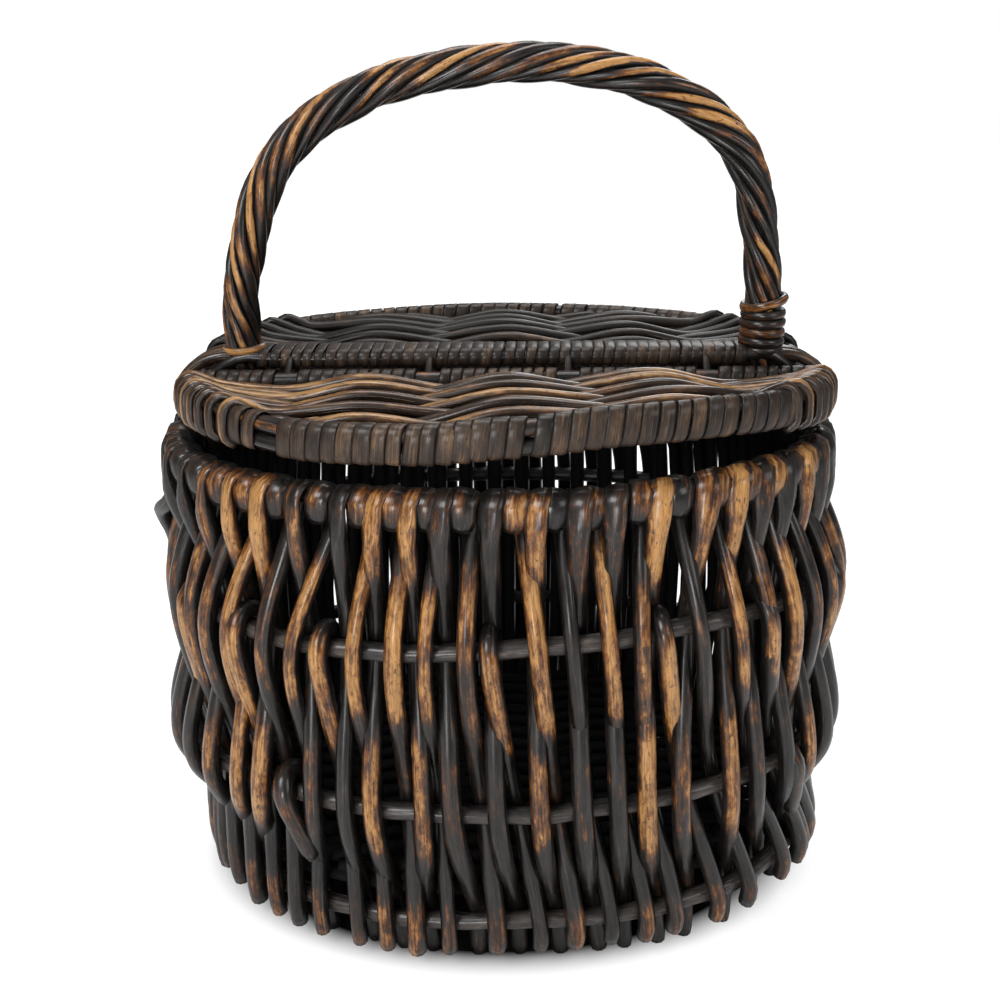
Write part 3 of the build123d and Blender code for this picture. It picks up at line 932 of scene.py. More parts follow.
    def _girth(self, number: int) -> float:
        """Thickness of a stake over the usual one; the rear of the wall is set closer."""
        first, last = self.close_set
        return self.close_set_girth if first <= number <= last else 1.0

    @staticmethod
    def _rubbing(place: float) -> float:
        """How much of the stain is rubbed off at a place; the front is handled more than the ends."""
        return between(0.45, 1.0, ease(52, 63, place)) * between(1.0, 0.6, ease(92, 99, place))

    def _rim_shape(self, line: Sequence[Vector], radii: Sequence[float]) -> tuple[list[float], list[float]]:
        """Radius and flatness along a stake that is pressed flat where it goes over the rim.

        Args:
            line: Points of the stake.
            radii: Radius at each point of the round stake.

        Returns:
            Radius and flatness at each point.
        """
        wide, flat = [], []
        for point, radius in zip(line, radii):
            press = ease(RIM.height - 22 * MM, RIM.height - 6 * MM, point.z)
            wide.append(radius * between(1.0, self.rim_width, press))
            flat.append(between(1.0, self.rim_flatness, press))
        return wide, flat

    def add_tail(self, piece: RodPiece, number: int) -> None:
        """Stake outside the rim, inside the upper hoop, outside the next and inside the last.

        Args:
            piece: Piece that takes it.
            number: Number of the stake.
        """
        chance = piece.random
        rim = self.tails_at_rim.place(number) + chance.uniform(-0.08, 0.08)
        middle = self.tails_at_middle.place(number) + chance.uniform(-0.1, 0.1)
        upper = between(rim, middle, 0.45)
        lower = self.tails_at_lower.place(number) + chance.uniform(-0.1, 0.1)
        knots = [
            *reversed(self._over_rim(rim, rim + self.rim_slant, 9 * MM)),
            RIM.beside(between(rim, upper, 0.25), self.rim_wrap + 0.8 * MM, -15 * MM),
            UPPER.beside(upper, -self.weave),
            MIDDLE.beside(middle, self.weave),
            LOWER.beside(lower, -self.weave),
            LOWER.beside(lower + chance.uniform(0, 0.5), -self.weave, -LOWER.height + 6 * MM),
        ]
        knots[-1].z = self.foot_height
        line = smooth_line(knots, self.step)
        own = self.tail_radius * chance.uniform(0.87, 1.12) * self._girth(number)
        radii = self._thickness(own, len(line), (0.98, 1.0, 1.0, 1.0, 1.04, 1.06, 1.04, 1.0))
        radii, flatness = self._rim_shape(line, radii)
        strength = chance.choice((0.3, 0.6, 0.85, 0.9, 1.0, 1.0)) * self._rubbing(number)
        reach = chance.uniform(26, 36) * MM
        wear = self._wear(line, ((RIM.height - 10 * MM, reach, 1.0),
                                 (MIDDLE.height + 8 * MM, chance.uniform(24, 38) * MM, 0.85)), strength)
        # Painted shade: the side turned into the creel is coloured near black.
        piece.add(Rod(line, radii, wear=wear, facing=self._facing(line), flatness=flatness,
                      across=RIM.along(rim), point=(0.8, 0.9), inward_painted_shade=0.95))

    def _outside_run(self, chance: random.Random, upper: float, lower: float) -> list[Vector]:
        """Knots of a stake outside the upper hoop, inside the next and outside the last.

        Args:
            chance: Source of random draws.
            upper: Place of the stake at the upper hoop.
            lower: Place of the stake at the lower hoop.

        Returns:
            The knots.
        """
        middle = between(upper, lower, 0.5)
        drop = between(13.5, 10, ease(66, 80, lower)) + chance.uniform(-1.2, 1.2)
        return [
            UPPER.beside(upper, self.weave),
            MIDDLE.beside(middle, -self.weave),
            LOWER.beside(lower, self.weave),
            LOWER.beside(lower, self.weave - 1.5 * MM, -drop * MM),
        ]

    def add_loop(self, piece: RodPiece, number: int) -> None:
        """Stake inside the rim, outside the upper hoop, inside the next and outside the last.

        Args:
            piece: Piece that takes it.
            number: Number of the stake.
        """
        chance = piece.random
        rim = self.loops_at_rim.place(number) + chance.uniform(-0.08, 0.08)
        upper = self.loops_at_upper.place(number) + chance.uniform(-0.1, 0.1)
        lower = self.loops_at_lower.place(number) + chance.uniform(-0.12, 0.12)
        knots = [
            RIM.beside(rim - 0.1, self.rim_wrap * 0.6, -self.rim_wrap * 1.7),
            RIM.beside(rim, self.rim_wrap * 0.98, -self.rim_wrap * 0.8),
            *self._over_rim(rim, rim + self.rim_slant, 10 * MM),
            *self._outside_run(chance, upper, lower),
        ]
        line = smooth_line(knots, self.step)
        own = self.loop_radius * chance.uniform(0.87, 1.12) * self._girth(number)
        radii = self._thickness(own, len(line), (1.06, 1.04, 0.98, 1.0, 1.06, 1.04, 1.1))
        radii, flatness = self._rim_shape(line, radii)
        strength = chance.choice((0.25, 0.55, 0.85, 0.9, 0.95, 1.0)) * self._rubbing(number)
        wear = self._wear(line, (
            (RIM.height + 4 * MM, 14 * MM, 0.75),
            (UPPER.height + chance.uniform(-6, 4) * MM, chance.uniform(32, 46) * MM, 1.0),
            (LOWER.height - 14 * MM, 26 * MM, 0.6)), strength)
        # Painted shade: the side turned into the creel is coloured near black.
        piece.add(Rod(line, radii, wear=wear, facing=self._facing(line), flatness=flatness,
                      across=RIM.along(rim), point=(0.96, 0.92), inward_painted_shade=0.95))

    def add_inserted(self, piece: RodPiece, upper: float, lower: float) -> None:
        """Short stake hooked over the upper hoop and down with the loop stakes.

        Args:
            piece: Piece that takes it.
            upper: Place of the stake at the upper hoop.
            lower: Place of the stake at the lower hoop.
        """
        chance = piece.random
        knots = [
            UPPER.beside(upper, -8 * MM, 1 * MM),
            UPPER.beside(upper, -5 * MM, 7 * MM),
            UPPER.beside(upper, 2 * MM, 8.8 * MM),
            UPPER.beside(upper, self.weave + 0.6 * MM, 2.5 * MM),
            *self._outside_run(chance, between(upper, lower, 0.04), lower)[1:],
        ]
        line = smooth_line(knots, self.step)
        radii = self._thickness(self.loop_radius, len(line), (1.0, 1.15, 1.1, 1.05, 1.0))
        wear = self._wear(line, ((UPPER.height - 26 * MM, 34 * MM, 1.0),
                                 (LOWER.height - 8 * MM, 20 * MM, 0.5)), 1.0)
        # Painted shade: the side turned into the creel is coloured near black.
        piece.add(Rod(line, radii, wear=wear, facing=self._facing(line), point=(0.85, 0.9),
                      inward_painted_shade=0.95))

    def add_backing(self, piece: RodPiece, place: float, tall: bool) -> None:
        """Thin stake set inside the rear of the wall, to close it where too much light comes through.

        Args:
            piece: Piece that takes it.
            place: Place along the rings.
            tall: Whether it goes up to the rim.
        """
        chance = piece.random
        inside = -self.weave - 3.4 * MM
        knots = [
            UPPER.beside(place, inside, -6 * MM),
            MIDDLE.beside(place + chance.uniform(-0.2, 0.2), inside),
            LOWER.beside(place, inside + 1 * MM),
        ]
        if tall:
            knots.insert(0, RIM.beside(place + chance.uniform(-0.2, 0.2), -8.4 * MM, -7 * MM))
        line = smooth_line(knots, 9 * MM)
        # Painted shade: the side turned into the creel is coloured near black.
        piece.add(Rod(line, self.backing_radius * chance.uniform(0.92, 1.1), wear=0.1,
                      facing=self._facing(line), inward_painted_shade=0.9, sides=8))

    def add_hook(self, piece: RodPiece, place: float) -> None:
        """Knotty stake end hooked over the middle hoop, with its tail down outside the wall.

        Args:
            piece: Piece that takes it.
            place: Place along the rings.
        """
        knots = [
            MIDDLE.beside(place - 0.2, -7 * MM, 0),
            MIDDLE.beside(place, -4 * MM, 7 * MM),
            MIDDLE.beside(place, 3 * MM, 8.8 * MM),
            MIDDLE.beside(place + 0.2, self.weave + 0.8 * MM, 2 * MM),
            MIDDLE.beside(place + 0.7, self.weave - 0.5 * MM, -14 * MM),
            MIDDLE.beside(place + 1.3, self.weave - 4 * MM, -32 * MM),
        ]
        line = smooth_line(knots, self.step)
        radii = self._thickness(self.loop_radius, len(line), (1.1, 1.35, 1.3, 1.15, 1.0))
        # Painted shade: the side turned into the creel is coloured near black.
        piece.add(Rod(line, radii, wear=0.25, facing=self._facing(line), lump=0.5 * MM,
                      point=(0.9, 0.8), inward_painted_shade=0.95))

    def add_knee(self, piece: RodPiece, place: float) -> None:
        """Stake end that stands out under the rim at the left.

        Args:
            piece: Piece that takes it.
            place: Place along the rings.
        """
        knots = [
            RIM.beside(place + 3.2, -2 * MM, -10 * MM),
            UPPER.beside(place + 1.4, 7 * MM, 34 * MM),
            UPPER.beside(place + 0.6, 11 * MM, 29 * MM),
            UPPER.beside(place, 11 * MM, 22 * MM),
            UPPER.beside(place - 0.5, 9 * MM, 12 * MM),
            UPPER.beside(place - 0.9, self.weave, -4 * MM),
            MIDDLE.beside(place - 1.2, -self.weave, 30 * MM),
        ]
        line = smooth_line(knots, self.step)
        # Painted shade: the side turned into the creel is coloured near black.
        piece.add(Rod(line, self.loop_radius, wear=0.3, facing=self._facing(line), inward_painted_shade=0.95))


# ------------------------------------------------------------------------------- floor
@dataclass
class Floor:
    """Woven mat wedged inside the inner feet.

    Attributes:
        overlap: How far sticks and rods reach over the hoop's middle.
        end_room: Room kept between a rod's end and the nearest stick.
    """

    height: float = 36.5 * MM
    half_width: float = 147.5 * MM
    half_depth: float = 96.5 * MM
    hoop_radius: float = 3.2 * MM
    stick_radius: float = 2.5 * MM
    rod_radius: float = 3.2 * MM
    stick_pitch: float = 52 * MM
    stick_count: int = 5
    rod_pitch: float = 6.0 * MM
    rod_count: int = 31
    hoop_points: int = 90
    overlap: float = 2 * MM
    end_room: float = 6 * MM

    def build(self, finishes: dict[Slot, bpy.types.Material]) -> None:
        """Make the hoop, the sticks across it and the rods woven over them.

        Args:
            finishes: Material of each slot.
        """
        hoop = RodPiece("floor_hoop_rod", 31)
        oval = Ring(self.half_width, self.half_depth, self.height)
        places = [PLACES * index / self.hoop_points for index in range(self.hoop_points)]
        # Painted shade: the hoop, deep inside the creel, is coloured near black.
        hoop.add(Rod([oval.at(place)[0] for place in places], self.hoop_radius, closed=True, wear=0.2,
                     painted_shade=1.0))
        hoop.finish_up(finishes[Slot.WEATHERED], "basket", Slot.WEATHERED.value, ["floor_hoop"])
        sticks = RodPiece("floor_cross_sticks", 32)
        xs = [self.stick_pitch * (index - (self.stick_count - 1) / 2) for index in range(self.stick_count)]
        level = self.height + self.hoop_radius + self.stick_radius
        for x in xs:
            reach = self._reach(x, self.half_width, self.half_depth)
            line = smooth_line([Vector((x, y, level)) for y in (-reach, 0, reach)], 20 * MM)
            # Painted shade: the sticks are coloured near black.
            sticks.add(Rod(line, self.stick_radius, wear=0.15, painted_shade=1.0))
        sticks.finish_up(finishes[Slot.DARK], "basket", Slot.DARK.value, ["floor_sticks"])
        rods = RodPiece("floor_woven_rods", 33)
        for row in range(self.rod_count):
            y = self.rod_pitch * (row - (self.rod_count - 1) / 2)
            reach = self._reach(y, self.half_depth, self.half_width)
            knots = [Vector((-reach, y, level))]
            for index, x in enumerate(xs):
                if abs(x) < reach - self.end_room:
                    lift = (self.rod_radius + self.stick_radius * 0.8) * (1 if (index + row) % 2 else -0.6)
                    knots.append(Vector((x, y, level + lift)))
            knots.append(Vector((reach, y, level)))
            # Painted shade: the woven rods are coloured near black.
            rods.add(Rod(smooth_line(knots, 13 * MM), self.rod_radius, wear=0.15, painted_shade=1.0, sides=8))
        rods.finish_up(finishes[Slot.DARK], "basket", Slot.DARK.value, ["floor_rods"])

    def _reach(self, offset: float, across: float, along: float) -> float:
        """Half-length of a rod laid across the hoop at an offset from its middle."""
        return oval_reach(offset, across, along, 0.05) + self.overlap


# ------------------------------------------------------------------------------- windings
# Gives the point and the level outward direction at a distance along a line.
Path = Callable[[float], tuple[Vector, Vector]]


@dataclass
class Winding:
    """Flat cane wound round a line, side by side turns.

    Attributes:
        across: Half-size of the turns, level across the line.
        rise: Half-size of the turns, upward.
        width: Width of the cane.
        thickness: Thickness of the cane.
        pitch: Distance along the line from one turn to the next.
        boxiness: Power that squares the section; 1 makes it an ellipse.
        wear: Wear of the cane's outside.
        patchy: How far that wear changes from turn to turn.
        uneven: How far the turns wander, as a share of the pitch.
        stations: Points in one turn.
    """

    across: float
    rise: float
    width: float
    thickness: float
    pitch: float
    boxiness: float = 1.0
    wear: float = 0.5
    patchy: float = 0.4
    uneven: float = 0.12
    stations: int = 14

    def wind(self, piece: RodPiece, path: Path, start: float, end: float) -> None:
        """Wind the cane along one stretch of a line.

        Args:
            piece: Piece that takes the cane.
            path: Gives the point and the level outward direction at a distance along the line.
            start: Distance at which the winding begins.
            end: Distance at which it ends.
        """
        chance = piece.random
        turns = max(1, round((end - start) / self.pitch))
        key = chance.uniform(0, 100)
        line, facing, radii, wear = [], [], [], []
        count = turns * self.stations
        for index in range(count + 1):
            turn = index / self.stations
            angle = math.tau * turn - math.pi / 2
            wander = noise.noise(Vector((turn * 0.9, key, 0))) * self.uneven * self.pitch
            point, outward = path(between(start, end, index / count) + wander)
            cosine, sine = math.cos(angle), math.sin(angle)
            tuck = 0.8 * MM if index in (0, count) else 0.0
            across = math.copysign(abs(cosine) ** self.boxiness, cosine) * (self.across - tuck)
            rise = math.copysign(abs(sine) ** self.boxiness, sine) * (self.rise - tuck)
            line.append(point + outward * across + UP * rise)
            facing.append((outward * cosine * self.rise + UP * sine * self.across).normalized())
            own = noise.noise(Vector((turn * 0.45, key + 9, 0)))
            radii.append(self.width / 2 * (1 + 0.35 * own))
            wear.append(max(0.0, self.wear + self.patchy * noise.noise(Vector((turn * 1.3, key, 5)))))
        piece.add(Rod(line, radii, wear=wear, facing=facing, flatness=self.thickness / self.width, sides=8))


def straight_path(start: Vector, outward: Vector) -> Path:
    """Line along X from a point, as a path for a winding.

    Args:
        start: Point at X = 0 of the line.
        outward: Level direction across it.

    Returns:
        Function of the distance along X.
    """
    return lambda along: (start + Vector((along, 0, 0)), outward)


# ------------------------------------------------------------------------------- handle
@dataclass
class Bow:
    """Roped bow: strands laid left-handed round a core, tied at the left foot and bound at the right.

    Attributes:
        knots: Points on its middle, as distance from the basket's middle and height in millimetres.
        orbit: Distance of a strand's middle from the bow's.
        turns: Turns of the rope from foot to foot.
        gold: How much the stain is rubbed off each strand.
        painted_shade_centre: Height of the point that the rubbed sides face away from; sides facing it get
            painted shade.
    """

    left_x: float = -125.5 * MM
    right_x: float = 123.5 * MM
    foot: float = 268 * MM
    knots: tuple[tuple[float, float], ...] = (
        (-124.0, 311.5), (-103.5, 364.5), (-63.0, 393.5), (4.0, 405.9), (64.0, 398.0), (106.0, 369.5),
        (120.5, 323.5))
    strands: int = 8
    strand_radius: float = 2.35 * MM
    orbit: float = 6.3 * MM
    turns: float = 3.9
    gold: tuple[float, ...] = (1.2, 0.7, 1.15, 0.5, 1.1, 1.1, 0.65, 1.15)
    painted_shade_centre: float = 300 * MM
    core_radius: float = 3.6 * MM
    peg_height: float = 262.8 * MM
    peg_reach: float = 8 * MM
    peg_radius: float = 1.5 * MM
    tie_height: float = 278.5 * MM
    tie_radius: float = 8.9 * MM
    tie_cane: float = 2.0 * MM
    collar_turns: int = 6
    collar_height: float = 276.6 * MM
    collar_pitch: float = 4.3 * MM
    collar_radius: float = 9.5 * MM
    collar_cane: float = 2.25 * MM
    turn_points: int = 28

    def line(self) -> list[Vector]:
        """Points along the middle of the bow, from the left foot to the right one."""
        points = [Vector((self.left_x, 0, self.foot)), Vector((self.left_x, 0, self.foot + 20 * MM))]
        points += [Vector((x * MM, 0, z * MM)) for x, z in self.knots]
        points += [Vector((self.right_x, 0, self.foot + 26 * MM)), Vector((self.right_x, 0, self.foot))]
        return smooth_line(points, 4 * MM)

    def build(self, finishes: dict[Slot, bpy.types.Material]) -> None:
        """Make the core, the strands, the tie, the collar and the pegs.

        Args:
            finishes: Material of each slot.
        """
        middle = self.line()
        core = RodPiece("bow_core_rod", 41)
        # Painted shade: the core, inside the rope, is coloured half dark.
        core.add(Rod(middle, self.core_radius, wear=0.1, painted_shade=0.5, sides=8))
        core.finish_up(finishes[Slot.DARK], "basket", Slot.DARK.value, ["bow_core"])
        for number in range(self.strands):
            self.add_strand(number, middle).finish_up(
                finishes[Slot.WORN], "basket", Slot.WORN.value, [f"bow_strand_{number + 1}"])
        self.add_tie().finish_up(finishes[Slot.WORN], "basket", Slot.CANE.value, ["left_leg_tie"])
        self.add_collar().finish_up(finishes[Slot.WORN], "basket", Slot.CANE.value, ["right_leg_collar"])
        pegs = RodPiece("bow_cross_pegs", 44)
        for x in (self.left_x, self.right_x):
            line = [Vector((x, y, self.peg_height)) for y in (-self.peg_reach, 0, self.peg_reach)]
            pegs.add(Rod(line, self.peg_radius))
        pegs.finish_up(finishes[Slot.DARK], "basket", Slot.DARK.value, ["bow_pegs"])

    def add_strand(self, number: int, middle: Sequence[Vector]) -> RodPiece:
        """One strand of the rope.

        Args:
            number: Number of the strand.
            middle: Points along the middle of the bow.

        Returns:
            The piece, not yet finished.
        """
        piece = RodPiece(f"bow_rope_strand_{number + 1}", 50 + number)
        chance = piece.random
        own = chance.uniform(0.82, 1.2)
        count = len(middle)
        line, facing, wear, radii = [], [], [], []
        for index in range(count):
            share = index / (count - 1)
            ahead, behind = middle[min(count - 1, index + 1)], middle[max(0, index - 1)]
            tangent = (ahead - behind).normalized()
            outward = Vector((tangent.z, 0, -tangent.x))
            waver = 0.10 * noise.noise(Vector((share * 9, number, 3)))
            turn = -math.tau * (self.turns * share + (number + waver) / self.strands)
            radial = outward * math.cos(turn) + Vector((0, math.sin(turn), 0))
            orbit = self.orbit + 0.9 * MM * noise.noise(Vector((share * 12, number * 2.3, 8)))
            line.append(middle[index] + radial * orbit)
            facing.append(radial)
            radii.append(self.strand_radius * own * (1 + 0.08 * noise.noise(Vector((share * 11, number, 1)))))
            # Painted shade: strands turned toward a point low inside the bow keep a quarter of their wear, so
            # the underside stays dark.
            outside = ease(-0.8, 0.1, radial.dot((line[-1] - UP * self.painted_shade_centre).normalized()))
            rubbing = 0.9 + 1.4 * noise.noise(Vector((share * 11, number * 1.7, 6)))
            wear.append(self.gold[number] * between(0.25, 1.0, outside) * rubbing)
        # Painted shade: the strands' inward sides and the grooves between them are coloured near black.
        piece.add(Rod(line, radii, wear=wear, facing=facing, sides=12, inward_painted_shade=1.0, clean=(0.68, 0.94)))
        return piece

    def _turn(self, piece: RodPiece, x: float, radius: float, height: float, tilt: float, thick: float,
              wear: float) -> None:
        """One tilted turn of cane round a leg.

        Args:
            piece: Piece that takes it.
            x: Place of the leg.
            radius: Distance of the cane's middle from the leg's.
            height: Height of the turn.
            tilt: How far it rises at the right.
            thick: Half the cane's width.
            wear: Wear of the cane.
        """
        line, facing = [], []
        for index in range(self.turn_points):
            angle = math.tau * index / self.turn_points
            outward = Vector((math.cos(angle), math.sin(angle), 0))
            line.append(Vector((x, 0, height)) + outward * radius + UP * tilt * math.cos(angle))
            facing.append(outward)
        piece.add(Rod(line, thick, wear=wear, facing=facing, closed=True, flatness=0.75, sides=10))

    def add_tie(self) -> RodPiece:
        """Split loop that ties the left leg."""
        piece = RodPiece("left_leg_split_tie", 42)
        self._turn(piece, self.left_x, self.tie_radius, self.tie_height, 0.6 * MM, self.tie_cane, 0.95)
        return piece

    def add_collar(self) -> RodPiece:
        """Turns of cane round the right leg."""
        piece = RodPiece("right_leg_cane_collar", 43)
        chance = piece.random
        for index in range(self.collar_turns):
            last = index == self.collar_turns - 1
            radius = self.collar_radius + chance.uniform(-0.4, 0.4) * MM
            height = self.collar_height + self.collar_pitch * index + (0.9 * MM if last else 0)
            tilt = (2.4 if last else chance.uniform(-0.5, 0.5)) * MM
            wear = 0.9 if last else chance.uniform(0.15, 0.55)
            self._turn(piece, self.right_x, radius, height, tilt, self.collar_cane, wear)
        return piece


# ------------------------------------------------------------------------------- crossbar
@dataclass
class Crossbar:
    """Pair of rods across the basket under the bow, bound with cane, with loops that carry the lids.

    Attributes:
        rod_offset: Distance of each rod from the basket's middle.
        level_half_length: Distance at which the rods turn down into the wall.
        loop_shift: How far the loops of the two lids stand apart along the bar, from each one's middle.
        loop_half_width: Half the stretch that a loop takes on the bar.
        loop_tilt: Direction across a loop, outward and up.
        left_end: Points along the woven rods beyond the left leg, in millimetres.
        right_end: The same beyond the right leg.
    """

    height: float = 274.5 * MM
    rod_offset: float = 6.8 * MM
    rod_radius: float = 3.1 * MM
    level_half_length: float = 132 * MM
    loop_xs: tuple[float, ...] = mm(-99, -33, 33, 99)
    loop_shift: float = 4 * MM
    hinge_offset: float = HINGE_OFFSET
    hinge_height: float = HINGE_HEIGHT
    binding_left: float = -117 * MM
    binding_right: float = 116 * MM
    binding_rise: float = 4.6 * MM
    loop_half_width: float = 2 * MM
    loop_tilt: tuple[float, float] = (0.76, -0.65)
    end_rods: int = 3
    end_pitch: float = 5.0 * MM
    left_end: tuple[tuple[float, float], ...] = (
        (108, 268), (119, 274), (135, 276), (146, 272.5), (153, 266.5), (157, 259), (158, 251))
    right_end: tuple[tuple[float, float], ...] = (
        (108, 268), (119, 273), (136, 274.5), (146, 271), (152.5, 265.5), (156, 258), (157, 250))

    def build(self, finishes: dict[Slot, bpy.types.Material], weave_finish: bpy.types.Material,
              wall: Wall) -> None:
        """Make the rods, their binding, the hinge loops and the weave beyond the legs.

        Args:
            finishes: Material of each slot.
            weave_finish: Material of woven lid rods.
            wall: The wall, whose hoops the rods' ends are woven in.
        """
        for name, side, ends, seed in (("front", -1, (101, 50), 61), ("rear", 1, (102, 49), 62)):
            piece = RodPiece(f"crossbar_{name}_bar", seed)
            piece.add(self._rod(side, ends, wall))
            piece.finish_up(finishes[Slot.DARK], "basket", Slot.DARK.value, [f"crossbar_{name}_rod"])
        binding = RodPiece("crossbar_cane_binding", 63)
        strip = Winding(across=self.rod_offset + 2.9 * MM, rise=self.binding_rise, width=5.6 * MM,
                        thickness=1.0 * MM, pitch=5.3 * MM, boxiness=0.6, wear=0.5)
        strip.wind(binding, straight_path(Vector((0, 0, self.height)), Vector((0, -1, 0))),
                   self.binding_left, self.binding_right)
        binding.finish_up(finishes[Slot.CANE], "basket", Slot.CANE.value, ["crossbar_binding"])
        for name, side, seed in (("front", -1, 64), ("rear", 1, 65)):
            piece = RodPiece(f"{name}_hinge_cane_loops", seed)
            middle = side * (self.rod_offset + self.hinge_offset) / 2
            reach = (self.hinge_offset - self.rod_offset) / 2 + 4.0 * MM
            loop = Winding(across=reach + 1.5 * MM, rise=self.binding_rise, width=3.4 * MM,
                           thickness=1.1 * MM, pitch=3.2 * MM, boxiness=0.7, wear=0.05)
            level = (self.height + self.hinge_height) / 2
            level_part, down_part = self.loop_tilt
            path = straight_path(Vector((0, middle, level)), Vector((0, side * level_part, down_part)))
            for x in self.loop_xs:
                place = x + side * self.loop_shift
                loop.wind(piece, path, place - self.loop_half_width, place + self.loop_half_width)
            piece.finish_up(finishes[Slot.CANE], "basket", Slot.CANE.value, [f"{name}_hinge_loops"])
        self.add_end_rods().finish_up(weave_finish, "basket", Slot.WORN.value)

    def add_end_rods(self) -> RodPiece:
        """Rods woven on between the lids beyond the legs, and down over the ends of the basket.

        Returns:
            The piece, not yet finished.
        """
        piece = RodPiece("crossbar_end_weave", 66)
        for end, knots in ((-1, self.left_end), (1, self.right_end)):
            for step in range(self.end_rods):
                y = (step - 1) * self.end_pitch
                turned = [Vector((end * x * MM, y * (0.8 if x < 120 else 1.0),
                                  z * MM + piece.random.uniform(-0.5, 0.5) * MM)) for x, z in knots]
                line = smooth_line(turned, 3 * MM)
                facing = [(UP + Vector((end * 1.6 * ease(0.14, 0.158, abs(point.x)), 0, 0))).normalized()
                          for point in line]
                wear = [0.35 + 0.5 * noise.noise(Vector((point.x * 30, step * 2.7, end))) for point in line]
                piece.add(Rod(line, piece.random.uniform(2.6, 3.1) * MM, wear=wear, facing=facing))
        return piece

    def _rod(self, side: int, ends: tuple[int, int], wall: Wall) -> Rod:
        """One rod, level across the basket, with both ends turned down into the wall.

        Args:
            side: -1 for the front rod, 1 for the rear one.
            ends: Numbers of the stakes that its ends take the place of, right and left.
            wall: The wall.

        Returns:
            The rod.
        """
        halves = []
        for number, end in zip(ends, (1, -1)):
            wrap = wall.rim_wrap
            below = [RIM.beside(number, -wrap, 14 * MM), RIM.beside(number, -wrap, -9 * MM)]
            weave = wall.weave if number % 2 else -wall.weave
            below += [UPPER.beside(number, weave), MIDDLE.beside(number, -weave), LOWER.beside(number, weave)]
            if number % 2:
                below.append(LOWER.beside(number, weave - 2 * MM, -13 * MM))
            else:
                below.append(LOWER.beside(number, weave, -LOWER.height))
            level = [Vector((end * reach, side * self.rod_offset, self.height))
                     for reach in (60 * MM, 110 * MM, self.level_half_length - 4 * MM)]
            halves.append([*level, *below])
        line = smooth_line([*reversed(halves[1]), *halves[0]], 7 * MM)
        return Rod(line, self.rod_radius, wear=0.35, facing=UP)


